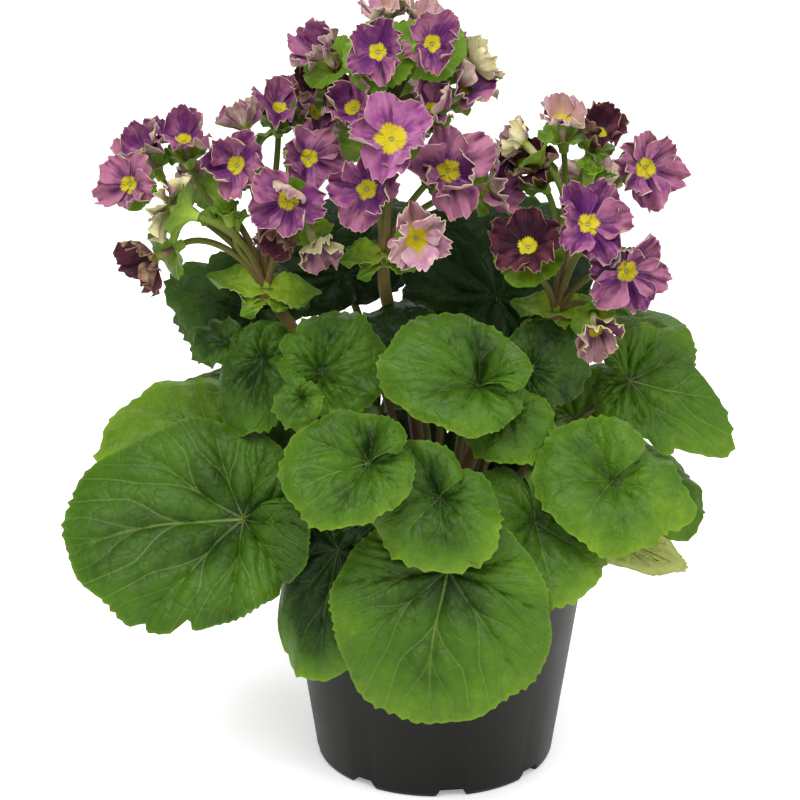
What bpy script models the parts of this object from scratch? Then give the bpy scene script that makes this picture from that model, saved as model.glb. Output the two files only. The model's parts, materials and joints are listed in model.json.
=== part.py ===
"""A potted primrose: a black nursery pot with soil, a rosette of round heart-shaped leaves on stalks,
and three flower stalks with frilled violet blooms in green cups. Places and sizes are in millimetres.
The origin is under the middle of the pot, with -Y to the front."""

import math
from collections import namedtuple

import bmesh
import bpy
from mathutils import Matrix, Vector

MM = 0.001
TAU = 2 * math.pi
CLEARANCE = 0.3

# Pot
POT_HEIGHT = 92.0
RIM_RADIUS = 65.0
LIP_HEIGHT = 11.0
WALL_TOP_RADIUS = 58.6
BASE_RADIUS = 46.7
WALL = 1.6
FLOOR = 2.0
RING_HEIGHT = 7.0
RING_INNER_RADIUS = 33.0
POT_STEPS = 28
NOTCHES = 8
NOTCH_TURN = math.radians(-82.5)
NOTCH_WIDTH = 13.6
NOTCH_TOP_WIDTH = 8.6
NOTCH_HEIGHT = 4.0
NOTCH_DEPTH = 6.5
DRAIN_RADIUS = 2.2

# Soil
SOIL_EDGE = 79.0
SOIL_RISE = 2.5
HOLE_FLOOR = 71.0
HOLE_TOP = 90.0

# Leaves
BLADE_THICKNESS = 0.8
STALK_FOOT_RADIUS = 1.9
STALK_TOP_RADIUS = 1.25
SINUS_OPEN = 0.55

# Blooms
PETALS = 5
PETAL_THICKNESS = 0.75
LIMB_AROUND = 20
JOINED_LIMB_AROUND = 15
TUBE_RADIUS = 1.3
TUBE_FOOT_RADIUS = 0.9
CUP_GAP = 3.4
CUP_LENGTH = 8.5
CUP_FUNNEL = 6.6
CUP_TOOTH = 0.8
CUP_NOTCH = 0.78
CUP_FOOT_RADIUS = 1.7
PEDICEL_RADIUS = 1.1
PEDICEL_STEPS = 3
PEDICEL_START = 4.2
UMBEL_RADIUS = 4.8
SCAPE_FOOT_RADIUS = 2.9
SCAPE_TOP_RADIUS = 2.1
SCAPE_STEPS = 2
BRACT_THICKNESS = 0.8
BUD_RADIUS = 3.0

POT_BLACK = (0.02, 0.02, 0.018)
SOIL_BROWN = (0.03, 0.02, 0.012)
GREEN = (0.085, 0.21, 0.035)
CUP_GREEN = (0.13, 0.27, 0.05)
COLOURS = {
    "violet": (0.30, 0.075, 0.30),
    "bright": (0.43, 0.11, 0.42),
    "burgundy": (0.11, 0.025, 0.055),
    "pale": (0.52, 0.33, 0.42),
    "cream": (0.60, 0.56, 0.36),
}

# A leaf: hole is where its stalk stands in the soil, at is where the stalk meets the blade, tip is the far
# end of the middle vein and face the way that the upper side looks. wide is the full width, heart how far the
# middle of the round blade lies ahead of the stalk, lap how far the two lobes overlap (degrees) and front
# which lobe lies on top. dish is the depth of the funnel round the stalk, fall the droop of the margin, bend
# the droop of the tip, and wave, waves and turn make the waved edge. lean turns the end of the stalk towards
# the tip.
Leaf = namedtuple(
    "Leaf",
    "name size hole at tip face wide heart lap front dish fall bend wave waves turn lean",
    defaults=(0.25,),
)

LEAVES = [
    Leaf("leaf_01", "large", (-17, -8), (-73, -38, 111), (-141, -48, 108), (-0.05, -0.80, 0.60),
         wide=82, heart=0.43, lap=14, front=1, dish=5, fall=3, bend=4, wave=1.6, waves=5, turn=0.4),
    Leaf("leaf_02", "middle", (-11, -17), (-25, -66, 148), (-56, -78, 144), (-0.05, -0.80, 0.60), lean=-0.15,
         wide=44, heart=0.33, lap=16, front=-1, dish=3, fall=2, bend=1, wave=1.2, waves=5, turn=1.1),
    Leaf("leaf_03", "middle", (-12, 3), (-44, -28, 169), (-22, -18, 182), (0.05, -0.80, 0.60),
         wide=42, heart=0.30, lap=4, front=1, dish=3, fall=2, bend=2, wave=1.6, waves=5, turn=0.2),
    Leaf("leaf_04", "middle", (6, -10), (16, -36, 167), (-17, -42, 185), (0.08, -0.78, 0.62), lean=-0.2,
         wide=48, heart=0.35, lap=14, front=-1, dish=4, fall=2, bend=2, wave=1.4, waves=5, turn=2.0),
    Leaf("leaf_05", "middle", (3, -20), (2, -62, 130), (-15, -76, 116), (-0.05, -0.90, 0.43),
         wide=53, heart=0.25, lap=12, front=-1, dish=4, fall=2, bend=2, wave=1.2, waves=5, turn=0.7),
    Leaf("leaf_06", "middle", (13, -17), (37, -43, 112), (46, -65, 89), (0.10, -0.76, 0.64),
         wide=52, heart=0.30, lap=-6, front=1, dish=3, fall=2, bend=2, wave=1.2, waves=4, turn=1.3),
    Leaf("leaf_07", "large", (-2, -26), (4, -65, 105), (-5, -88, 53), (-0.05, -0.93, 0.37),
         wide=82, heart=0.45, lap=-8, front=1, dish=4, fall=4, bend=3, wave=1.6, waves=5, turn=0.3),
    Leaf("leaf_08", "small", (-13, -22), (-37, -50, 107), (-52, -75, 65), (-0.42, -0.83, 0.36),
         wide=46, heart=0.40, lap=-8, front=1, dish=3, fall=3, bend=3, wave=1.4, waves=4, turn=1.9),
    Leaf("leaf_09", "middle", (22, -14), (66, -44, 132), (49, -62, 119), (0.10, -0.76, 0.64),
         wide=58, heart=0.15, lap=14, front=-1, dish=4, fall=3, bend=2, wave=1.4, waves=5, turn=2.4),
    Leaf("leaf_10", "middle", (19, 2), (75, 8, 153), (116, 4, 144), (0.10, -0.74, 0.66),
         wide=54, heart=0.50, lap=-6, front=1, dish=3, fall=2, bend=3, wave=1.8, waves=4, turn=0.9),
    Leaf("leaf_11", "small", (16, 11), (56, 26, 129), (89, 42, 143), (0.05, -0.60, 0.80),
         wide=40, heart=0.45, lap=-4, front=1, dish=3, fall=2, bend=2, wave=1.6, waves=4, turn=0.5),
    Leaf("leaf_12", "small", (12, -4), (36, -12, 165), (57, -13, 175), (0.15, -0.90, 0.42),
         wide=34, heart=0.40, lap=6, front=1, dish=3, fall=2, bend=2, wave=1.2, waves=4, turn=1.5),
    Leaf("leaf_13", "small", (13, 20), (67, 46, 167), (99, 56, 173), (0.10, 0.45, 0.88), lean=1.0,
         wide=44, heart=0.45, lap=-6, front=1, dish=3, fall=3, bend=3, wave=1.6, waves=4, turn=2.2),
    Leaf("leaf_14", "small", (27, -3), (64, -21, 102), (95, -28, 90), (0.00, -0.80, 0.60),
         wide=20, heart=0.10, lap=-20, front=1, dish=1, fall=1, bend=1, wave=0.8, waves=3, turn=0.2),
    Leaf("leaf_15", "small", (22, 9), (74, 18, 108), (105, 8, 96), (0.20, -0.45, 0.87),
         wide=50, heart=0.30, lap=-4, front=1, dish=3, fall=3, bend=3, wave=1.6, waves=4, turn=0.8),
    Leaf("leaf_16", "small", (-15, 16), (-70, 32, 174), (-107, 38, 181), (-0.15, -0.90, 0.42),
         wide=42, heart=0.30, lap=4, front=1, dish=3, fall=3, bend=3, wave=1.8, waves=5, turn=1.2),
    Leaf("leaf_17", "small", (-18, 2), (-66, -12, 169), (-79, -30, 148), (-0.35, -0.80, 0.50),
         wide=30, heart=0.30, lap=8, front=1, dish=3, fall=2, bend=3, wave=1.8, waves=5, turn=0.1),
    Leaf("leaf_18", "small", (-19, 9), (-80, 4, 170), (-92, -2, 178), (-0.30, -0.70, 0.65),
         wide=20, heart=0.40, lap=4, front=1, dish=2, fall=1, bend=1, wave=1.2, waves=4, turn=2.0),
    Leaf("leaf_19", "small", (-22, -2), (-87, 14, 128), (-133, 10, 131), (-0.05, -0.55, 0.83),
         wide=56, heart=0.30, lap=-4, front=1, dish=3, fall=3, bend=3, wave=1.6, waves=4, turn=0.6),
    Leaf("leaf_20", "small", (7, 14), (26, 36, 178), (22, 48, 218), (0.00, -0.92, 0.40),
         wide=56, heart=0.25, lap=6, front=1, dish=3, fall=3, bend=3, wave=1.8, waves=5, turn=0.9),
    Leaf("leaf_21", "small", (-8, 16), (-38, 52, 184), (-48, 60, 210), (0.00, -0.90, 0.43),
         wide=54, heart=0.35, lap=6, front=1, dish=3, fall=3, bend=3, wave=1.8, waves=5, turn=1.7),
    Leaf("leaf_22", "small", (0, -4), (-10, -7, 171), (-24, -5, 188), (0.00, -0.80, 0.60),
         wide=34, heart=0.30, lap=6, front=1, dish=2, fall=2, bend=2, wave=1.6, waves=4, turn=0.3),
    Leaf("leaf_23", "small", (-26, -9), (-52, -8, 130), (-64, -10, 143), (-0.10, -0.70, 0.70),
         wide=26, heart=0.30, lap=6, front=1, dish=2, fall=2, bend=2, wave=1.4, waves=4, turn=2.6),
    Leaf("leaf_24", "small", (-18, 22), (-64, 60, 140), (-108, 72, 142), (-0.20, 0.20, 0.96),
         wide=48, heart=0.30, lap=-4, front=1, dish=3, fall=3, bend=4, wave=1.8, waves=5, turn=0.4),
    Leaf("leaf_25", "small", (-6, 25), (-22, 60, 122), (-34, 98, 90), (-0.10, 0.70, 0.70),
         wide=56, heart=0.35, lap=-4, front=1, dish=4, fall=3, bend=4, wave=1.8, waves=5, turn=1.4),
    Leaf("leaf_26", "small", (8, 26), (32, 58, 122), (54, 92, 94), (0.10, 0.70, 0.70),
         wide=66, heart=0.35, lap=-4, front=1, dish=4, fall=3, bend=4, wave=1.8, waves=5, turn=2.4),
    Leaf("leaf_27", "small", (0, 19), (4, 56, 153), (6, 90, 152), (0.00, 0.45, 0.89),
         wide=50, heart=0.30, lap=-4, front=1, dish=3, fall=3, bend=4, wave=1.8, waves=5, turn=0.8),
    Leaf("leaf_28", "small", (11, -7), (27, -33, 157), (29, -48, 142), (0.05, -0.80, 0.60),
         wide=27, heart=0.30, lap=-30, front=1, dish=2, fall=2, bend=2, wave=1.2, waves=4, turn=1.8),
    Leaf("leaf_29", "small", (-20, -15), (-50, -48, 167), (-56, -54, 158), (-0.20, -0.80, 0.55), lean=-1.2,
         wide=18, heart=0.30, lap=6, front=1, dish=3, fall=1, bend=1, wave=1.0, waves=5, turn=0.6),
]

# Points round the blade, rings from the stalk to the margin, and sides of the stalk, by the leaf's size.
BLADE_GRID = {"large": (20, 3, 6), "middle": (16, 2, 4), "small": (12, 2, 4)}
STALK_STEPS = 3

# A bloom: eye is the middle of its face, and face is the way that it looks. kind gives the colour, cup the
# radius of its green cup, bowl how far the petals' ends come forward, and umbel the flower stalk and which of
# its umbels it grows from. A bloom with no name is joined to its flower stalk.
Bloom = namedtuple("Bloom", "name eye face radius kind cup bowl umbel")

# Each flower stalk: the points of its way up from its hole, its umbels (where the thin stalks start), the
# bracts there (start, tip and width) and the buds (place and the way that they look).
Stalk = namedtuple("Stalk", "name way umbels bracts buds")

STALKS = {
    "left": Stalk(
        "stalk_left",
        [(-11, 8, 71.3), (-11, 8, 84), (-20, 8, 120), (-38, 6, 150), (-56, 2, 178), (-65, 0, 193)],
        [(-65, 0, 193)],
        [((-66, -2, 194), (-81, -10, 211), 9), ((-64, -2, 194), (-47, -9, 203), 10)],
        [
            ((-80, -6, 229), (-0.2, -0.3, 0.9)),
            ((-86, -3, 225), (-0.6, -0.3, 0.7)),
            ((-76, 2, 224), (0.1, 0.2, 0.9)),
        ],
    ),
    "middle": Stalk(
        "stalk_middle",
        [
            (-3, 7, 71.3), (-3, 7, 84), (-6, 12, 120), (-12, 16, 160), (-19, 10, 186), (-20, -2, 208),
            (-18, 2, 262),
        ],
        [(-20, -2, 208), (-18, 2, 262)],
        [((-21, -4, 209), (-34, -12, 217), 8), ((-19, -4, 209), (-6, -12, 216), 8)],
        [((-22, 14, 252), (-0.1, 0.6, 0.8))],
    ),
    "right": Stalk(
        "stalk_right",
        [(5, 3, 71.3), (5, 3, 84), (14, 9, 120), (31, 10, 155), (46, 2, 183)],
        [(46, 2, 183)],
        [((47, 0, 184), (60, -6, 197), 8), ((45, 0, 184), (34, -6, 197), 8)],
        [((58, 0, 243), (0.1, -0.2, 1.0)), ((64, 6, 240), (0.5, 0.2, 0.9))],
    ),
}

BLOOMS = [
    Bloom("left_01", (-115, -10, 238), (-0.35, -0.85, 0.40), 11.5, "violet", 7, 1.0, ("left", 0)),
    Bloom("left_02", (-100, -11, 229), (-0.90, 0.30, 0.20), 12.5, "cream", 9, 4.0, ("left", 0)),
    Bloom("left_03", (-106, -6, 208), (-0.80, -0.50, -0.30), 13.0, "burgundy", 9, 2.0, ("left", 0)),
    Bloom("left_04", (-75, -6, 244), (-0.25, -0.80, 0.55), 12.0, "violet", 7, 1.0, ("left", 0)),
    Bloom("left_05", (-72, 9, 254), (-0.35, 0.20, 0.90), 10.5, "violet", 8, 2.0, ("left", 0)),
    Bloom("left_06", (-46, 14, 259), (0.30, -0.70, 0.65), 11.5, "violet", 7, 1.0, ("left", 0)),
    Bloom("left_07", (-48, -9, 248), (0.25, -0.80, 0.55), 11.5, "violet", 7, 1.0, ("left", 0)),
    Bloom("left_08", (-55, -33, 239), (-0.20, -0.95, 0.25), 12.5, "violet", 6, 1.0, ("left", 0)),
    Bloom("left_09", (-59, -14, 222), (-0.30, -0.60, -0.60), 10.0, "burgundy", 6, 3.0, ("left", 0)),
    Bloom("left_10", (-46, -16, 217), (0.30, -0.60, -0.60), 10.0, "cream", 7, 4.0, ("left", 0)),
    Bloom(None, (-110, 8, 244), (-0.50, 0.30, 0.80), 9.5, "burgundy", 6, 1.5, ("left", 0)),
    Bloom(None, (-96, 13, 248), (-0.20, 0.25, 0.95), 10.0, "burgundy", 6, 1.5, ("left", 0)),
    Bloom(None, (-60, 22, 258), (0.00, 0.20, 0.97), 10.0, "violet", 6, 2.0, ("left", 0)),
    Bloom(None, (-88, 27, 228), (-0.50, 0.75, 0.40), 11.5, "violet", 7, 1.0, ("left", 0)),
    Bloom("middle_01", (-26, -26, 241), (-0.10, -0.97, 0.20), 13.5, "violet", 7, 1.0, ("middle", 0)),
    Bloom("middle_02", (-8, -28, 223), (0.10, -0.97, 0.20), 13.0, "pale", 7, 1.0, ("middle", 0)),
    Bloom("middle_03", (-17, -26, 260), (0.00, -0.80, 0.60), 15.0, "bright", 8, 1.0, ("middle", 1)),
    Bloom("middle_04", (4, -16, 245), (0.20, -0.93, 0.30), 16.0, "violet", 8, 1.0, ("middle", 0)),
    Bloom("middle_05", (-31, -10, 267), (-0.35, -0.60, 0.70), 12.0, "violet", 6, 1.0, ("middle", 1)),
    Bloom("middle_06", (-2, -8, 266), (0.20, -0.40, 0.90), 11.0, "violet", 6, 1.0, ("middle", 1)),
    Bloom("middle_07", (20, -2, 235), (0.85, -0.40, 0.30), 14.0, "violet", 8, 1.0, ("middle", 0)),
    Bloom("middle_08", (-22, -15, 290), (-0.15, -0.85, 0.50), 13.0, "violet", 9, 1.0, ("middle", 1)),
    Bloom("middle_09", (-2, -7, 291), (0.20, -0.85, 0.50), 12.0, "violet", 9, 1.0, ("middle", 1)),
    Bloom("middle_10", (-42, -4, 286), (-0.50, -0.50, 0.70), 12.0, "violet", 9, 1.0, ("middle", 1)),
    Bloom(None, (-41, 4, 272), (-0.60, 0.20, 0.75), 10.5, "burgundy", 6, 1.0, ("middle", 1)),
    Bloom(None, (9, 4, 270), (0.60, -0.30, 0.70), 10.5, "burgundy", 6, 1.0, ("middle", 1)),
    Bloom(None, (13, 8, 279), (0.80, 0.10, 0.50), 9.0, "cream", 6, 1.0, ("middle", 1)),
    Bloom(None, (-18, 9, 297), (-0.30, 0.50, 0.80), 9.5, "cream", 6, 2.0, ("middle", 1)),
    Bloom(None, (-5, 11, 293), (0.30, 0.50, 0.80), 9.5, "cream", 6, 2.0, ("middle", 1)),
    Bloom(None, (-14, 32, 262), (0.10, 0.90, 0.45), 13.0, "violet", 7, 1.0, ("middle", 1)),
    Bloom(None, (-31, 29, 246), (-0.30, 0.92, 0.20), 13.0, "violet", 7, 1.0, ("middle", 0)),
    Bloom("right_01", (78, -5, 243), (0.25, -0.93, 0.30), 13.5, "violet", 7, 1.0, ("right", 0)),
    Bloom("right_02", (56, -22, 226), (0.00, -0.80, 0.60), 14.5, "violet", 8, 1.0, ("right", 0)),
    Bloom("right_03", (34, -22, 217), (-0.15, -0.70, 0.70), 13.5, "burgundy", 11, 1.0, ("right", 0)),
    Bloom("right_04", (71, -19, 207), (0.20, -0.96, 0.15), 14.0, "violet", 7, 1.0, ("right", 0)),
    Bloom("right_05", (60, -14, 182), (0.20, -0.40, -0.90), 11.5, "cream", 7, 5.0, ("right", 0)),
    Bloom("right_06", (33, 0, 251), (-0.70, 0.10, 0.70), 9.0, "cream", 8, 2.0, ("right", 0)),
    Bloom(None, (37, 2, 240), (-0.50, 0.00, 0.87), 10.0, "burgundy", 6, 1.0, ("right", 0)),
    Bloom(None, (47, 6, 258), (-0.10, 0.30, 0.95), 9.0, "pale", 7, 2.0, ("right", 0)),
    Bloom(None, (61, 8, 252), (0.30, 0.10, 0.95), 9.0, "burgundy", 6, 3.0, ("right", 0)),
    Bloom(None, (60, 27, 226), (0.20, 0.90, 0.35), 12.5, "violet", 7, 1.0, ("right", 0)),
]


def vec(place):
    """A place in millimetres as a vector in metres."""
    return Vector(place) * MM


def smooth(value):
    """0 below 0, 1 above 1, and a soft step between."""
    value = min(max(value, 0.0), 1.0)
    return value * value * (3 - 2 * value)


def new_collection(name):
    collection = bpy.data.collections.new(name)
    bpy.context.scene.collection.children.link(collection)
    return collection


def new_object(name, mesh, collection):
    obj = bpy.data.objects.new(name, mesh)
    collection.objects.link(obj)
    return obj


def paint(obj, name, colour, roughness):
    """Give the object a material of its own."""
    material = bpy.data.materials.new(name)
    material.use_nodes = True
    shader = material.node_tree.nodes["Principled BSDF"]
    shader.inputs["Base Color"].default_value = (*colour, 1.0)
    shader.inputs["Roughness"].default_value = roughness
    material.diffuse_color = (*colour, 1.0)
    obj.data.materials.clear()
    obj.data.materials.append(material)


def evaluated_mesh(obj):
    graph = bpy.context.evaluated_depsgraph_get()
    return bpy.data.meshes.new_from_object(obj.evaluated_get(graph))


def turned(name, profile, steps, collection):
    """A turned solid, whose profile in the XZ plane starts and ends on the axis."""
    mesh = bpy.data.meshes.new(name)
    places = [(radius * MM, 0.0, height * MM) for radius, height in profile]
    mesh.from_pydata(places, [(i, i + 1) for i in range(len(places) - 1)], [])
    obj = new_object(name, mesh, collection)
    screw = obj.modifiers.new("turn", "SCREW")
    screw.steps = steps
    screw.render_steps = steps
    screw.use_merge_vertices = True
    screw.merge_threshold = 0.00001
    return obj


def cut(obj, cutters):
    """Cut a collection of cutters out of the object."""
    boolean = obj.modifiers.new("cut", "BOOLEAN")
    boolean.operation = "DIFFERENCE"
    boolean.operand_type = "COLLECTION"
    boolean.collection = cutters
    boolean.solver = "EXACT"


def hide_cutter(obj):
    obj.hide_render = True
    obj.display_type = "WIRE"


def pot_wall_radius(height):
    """Outer radius of the pot's wall below the lip."""
    lip_foot = POT_HEIGHT - LIP_HEIGHT
    return BASE_RADIUS + (WALL_TOP_RADIUS - BASE_RADIUS) * height / lip_foot


def make_pot(parts, cutters):
    lip_foot = POT_HEIGHT - LIP_HEIGHT
    profile = [
        (0, FLOOR),
        (RING_INNER_RADIUS, FLOOR),
        (RING_INNER_RADIUS + 4, RING_HEIGHT - 1),
        (pot_wall_radius(RING_HEIGHT) - WALL, RING_HEIGHT),
        (pot_wall_radius(lip_foot - 1) - WALL, lip_foot - 1),
        (RIM_RADIUS - WALL - 1.4, lip_foot + 2),
        (RIM_RADIUS - WALL, POT_HEIGHT),
        (RIM_RADIUS, POT_HEIGHT - 0.8),
        (RIM_RADIUS - 0.6, lip_foot + 0.5),
        (RIM_RADIUS - 1.4, lip_foot),
        (WALL_TOP_RADIUS, lip_foot - 0.6),
        (pot_wall_radius(2), 2),
        (BASE_RADIUS - 1.4, 0),
        (0, 0),
    ]
    pot = turned("pot", profile, POT_STEPS, parts)
    for index in range(NOTCHES):
        turn = NOTCH_TURN + index * TAU / NOTCHES
        out = vec((BASE_RADIUS + 2 - NOTCH_DEPTH / 2, 0, 0))
        middle = Matrix.Rotation(turn, 4, "Z") @ Matrix.Translation(out)
        bm = bmesh.new()
        bmesh.ops.create_cube(bm, size=1.0)
        for vert in bm.verts:
            width = NOTCH_TOP_WIDTH if vert.co.z > 0 else NOTCH_WIDTH
            height = NOTCH_HEIGHT if vert.co.z > 0 else -1.0
            vert.co = vec((vert.co.x * (NOTCH_DEPTH + 4), vert.co.y * width, height))
        bmesh.ops.transform(bm, matrix=middle, verts=bm.verts)
        mesh = bpy.data.meshes.new(f"notch_{index}")
        bm.to_mesh(mesh)
        bm.free()
        hide_cutter(new_object(mesh.name, mesh, cutters))
        reach = BASE_RADIUS - NOTCH_DEPTH + 1.5
        place = (reach * math.cos(turn), reach * math.sin(turn))
        drill(f"drain_{index}", place, DRAIN_RADIUS, 6, NOTCH_HEIGHT - 2, RING_HEIGHT + 3, cutters)
    cut(pot, cutters)
    paint(pot, "pot_plastic", POT_BLACK, 0.5)


def drill(name, place, clear_radius, sides, low, high, cutters):
    """An upright cutter between two heights, whose flat sides lie clear_radius from its middle."""
    radius = clear_radius / math.cos(math.pi / sides) * MM
    bm = bmesh.new()
    depth = (high - low) * MM
    bmesh.ops.create_cone(bm, cap_ends=True, segments=sides, radius1=radius, radius2=radius, depth=depth)
    bmesh.ops.translate(bm, verts=bm.verts, vec=vec((place[0], place[1], (high + low) / 2)))
    mesh = bpy.data.meshes.new(name)
    bm.to_mesh(mesh)
    bm.free()
    hide_cutter(new_object(name, mesh, cutters))


def make_soil(parts, cutters, holes):
    gap = CLEARANCE
    profile = [
        (0, SOIL_EDGE + SOIL_RISE),
        (30, SOIL_EDGE + SOIL_RISE * 0.8),
        (50, SOIL_EDGE + 0.6),
        (pot_wall_radius(SOIL_EDGE) - WALL - gap, SOIL_EDGE),
        (pot_wall_radius(RING_HEIGHT) - WALL - gap, RING_HEIGHT + gap),
        (RING_INNER_RADIUS + 4 - gap, RING_HEIGHT - 1 + gap),
        (RING_INNER_RADIUS - gap, FLOOR + gap),
        (0, FLOOR + gap),
    ]
    soil = turned("soil", profile, POT_STEPS // 2, parts)
    for index, (place, radius, sides) in enumerate(holes):
        drill(f"stalk_hole_{index}", place, radius + CLEARANCE, sides, HOLE_FLOOR, HOLE_TOP, cutters)
    cut(soil, cutters)
    paint(soil, "soil", SOIL_BROWN, 0.95)


def bezier(start, start_handle, end_handle, end, share):
    rest = 1 - share
    near = start * rest**3 + start_handle * 3 * rest**2 * share
    return near + end_handle * 3 * rest * share**2 + end * share**3


def tube(name, points, radii, sides, collection):
    """A tube with filled caps along the points, as a mesh. sides is 4 or 6."""
    curve = bpy.data.curves.new(name, "CURVE")
    curve.dimensions = "3D"
    curve.bevel_depth = 1.0
    curve.bevel_resolution = 0 if sides == 4 else 1
    curve.use_fill_caps = True
    spline = curve.splines.new("POLY")
    spline.points.add(len(points) - 1)
    for spot, place, radius in zip(spline.points, points, radii):
        spot.co = (*place, 1.0)
        spot.radius = radius * MM
    obj = new_object(name, curve, collection)
    mesh = evaluated_mesh(obj)
    bpy.data.objects.remove(obj)
    bm = bmesh.new()
    bm.from_mesh(mesh)
    bmesh.ops.remove_doubles(bm, verts=bm.verts, dist=1e-6)
    bmesh.ops.recalc_face_normals(bm, faces=bm.faces)
    bm.to_mesh(mesh)
    bm.free()
    return new_object(name, mesh, collection)


def sheet(name, shape, around, out, thickness, collection):
    """A thin solid from a surface: shape(turn, share) gives its points, turn -1 to 1 and share 0 to 1."""
    bm = bmesh.new()
    bmesh.ops.create_grid(bm, x_segments=around, y_segments=out, size=1.0)
    for vert in bm.verts:
        vert.co = shape(vert.co.x, (vert.co.y + 1) / 2)
    bmesh.ops.remove_doubles(bm, verts=bm.verts, dist=1e-6)
    bmesh.ops.dissolve_degenerate(bm, edges=bm.edges, dist=1e-7)
    bmesh.ops.triangulate(bm, faces=bm.faces, quad_method="FIXED")
    mesh = bpy.data.meshes.new(name)
    bm.to_mesh(mesh)
    bm.free()
    obj = new_object(name, mesh, collection)
    solidify = obj.modifiers.new("thickness", "SOLIDIFY")
    solidify.thickness = thickness * MM
    solidify.offset = 0.0
    solid = evaluated_mesh(obj)
    bpy.data.objects.remove(obj)
    bm = bmesh.new()
    bm.from_mesh(solid)
    bmesh.ops.recalc_face_normals(bm, faces=bm.faces)
    bm.to_mesh(solid)
    bm.free()
    return new_object(name, solid, collection)


def drop_scraps(mesh):
    """Keep only the largest body of the mesh."""
    bm = bmesh.new()
    bm.from_mesh(mesh)
    left = set(bm.verts)
    bodies = []
    while left:
        body = set()
        reached = [left.pop()]
        while reached:
            vert = reached.pop()
            body.add(vert)
            for edge in vert.link_edges:
                other = edge.other_vert(vert)
                if other in left:
                    left.remove(other)
                    reached.append(other)
        bodies.append(body)
    bodies.sort(key=len)
    for body in bodies[:-1]:
        bmesh.ops.delete(bm, geom=list(body), context="VERTS")
    bm.to_mesh(mesh)
    bm.free()


def fuse(name, pieces, scrap, parts):
    """Join the pieces in one solid by a Boolean union, and remove them."""
    first = pieces[0]
    others = new_collection(name + "_joined")
    for piece in pieces[1:]:
        scrap.objects.unlink(piece)
        others.objects.link(piece)
    boolean = first.modifiers.new("join", "BOOLEAN")
    boolean.operation = "UNION"
    boolean.operand_type = "COLLECTION"
    boolean.collection = others
    boolean.solver = "MANIFOLD"
    mesh = evaluated_mesh(first)
    mesh.name = name
    drop_scraps(mesh)
    for piece in pieces:
        bpy.data.objects.remove(piece)
    bpy.data.collections.remove(others)
    return new_object(name, mesh, parts)


def axes_of(along, face):
    """Rotation whose columns are along, across and out of the face."""
    out = face.normalized()
    across = out.cross(along).normalized()
    along = across.cross(out)
    return Matrix((along, across, out)).transposed()


def blade_point(leaf, turn, share):
    """A point of the blade's middle surface. turn runs from one lobe at -1 to the other at 1."""
    reach = (Vector(leaf.tip) - Vector(leaf.at)).length
    round_radius = reach / (1 + leaf.heart)
    ahead = round_radius * leaf.heart
    gap = SINUS_OPEN * (1 - share) - math.radians(leaf.lap) * share
    angle = turn * (math.pi - gap / 2)
    radius = ahead * math.cos(angle) + math.sqrt(round_radius**2 - (ahead * math.sin(angle)) ** 2)
    lobe = smooth((abs(turn) - 0.78) / 0.22)
    radius *= share * (1 - 0.22 * lobe)
    along = radius * math.cos(angle)
    across = radius * math.sin(angle) * leaf.wide / (2 * round_radius)
    height = leaf.dish * math.sin(min(share * 1.25, 1.0) * math.pi / 2)
    height -= leaf.fall * share**3
    height -= leaf.bend * (max(along, 0.0) / reach) ** 2
    height += leaf.wave * share**2 * math.sin(leaf.waves * angle + leaf.turn)
    over = smooth((turn * leaf.front - 0.5) / 0.5)
    under = smooth((-turn * leaf.front - 0.5) / 0.5)
    height += share * (0.11 * over - 0.05 * under) * reach
    return along, across, height


def make_leaf(leaf, scrap, parts):
    at = Vector(leaf.at)
    axes = axes_of(Vector(leaf.tip) - at, Vector(leaf.face))
    start_height = blade_point(leaf, 0, 0)[2]

    def shape(turn, share):
        along, across, height = blade_point(leaf, turn, share)
        return (at + axes @ Vector((along, across, height - start_height))) * MM

    around, out, sides = BLADE_GRID[leaf.size]
    blade = sheet(leaf.name + "_blade", shape, around, out, BLADE_THICKNESS, scrap)
    foot = Vector((leaf.hole[0], leaf.hole[1], HOLE_FLOOR + CLEARANCE))
    ground = Vector((leaf.hole[0], leaf.hole[1], SOIL_EDGE + SOIL_RISE + 1))
    arrive = (axes @ Vector((leaf.lean, 0, 1))).normalized()
    length = (at - ground).length
    rise = Vector((0, 0, length * 0.35))
    points = [foot]
    for step in range(STALK_STEPS + 1):
        share = step / STALK_STEPS
        points.append(bezier(ground, ground + rise, at - arrive * length * 0.3, at, share))
    taper = (STALK_TOP_RADIUS - STALK_FOOT_RADIUS) / STALK_STEPS
    radii = [STALK_FOOT_RADIUS] + [STALK_FOOT_RADIUS + taper * step for step in range(STALK_STEPS + 1)]
    stalk = tube(leaf.name + "_stalk", [point * MM for point in points], radii, sides, scrap)
    paint(fuse(leaf.name, [blade, stalk], scrap, parts), leaf.name, GREEN, 0.5)


def corolla_rim(bloom, angle):
    """Height and radius of the edge of the five petals, frilled and with a notch between petals."""
    between = ((1 + math.cos(5 * angle)) / 2) ** 6
    middle = ((1 - math.cos(5 * angle)) / 2) ** 6
    radius = bloom.radius * (1 - 0.2 * between - 0.07 * middle)
    frill = 0.07 * bloom.radius * math.sin(5 * angle + 0.8 * math.sin(angle))
    return bloom.bowl + frill, radius


def tube_length(bloom):
    """The tube's foot stands in the cup's funnel, just clear of its wall."""
    return CUP_GAP + CUP_FUNNEL * (1 - (TUBE_FOOT_RADIUS + 0.6) / (CUP_NOTCH * bloom.cup))


def ring(axes, middle, radius, count):
    """Points of a level ring round the flower's axis."""
    return [
        middle + axes @ Vector((radius * math.cos(TAU * i / count), radius * math.sin(TAU * i / count), 0))
        for i in range(count)
    ]


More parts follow.
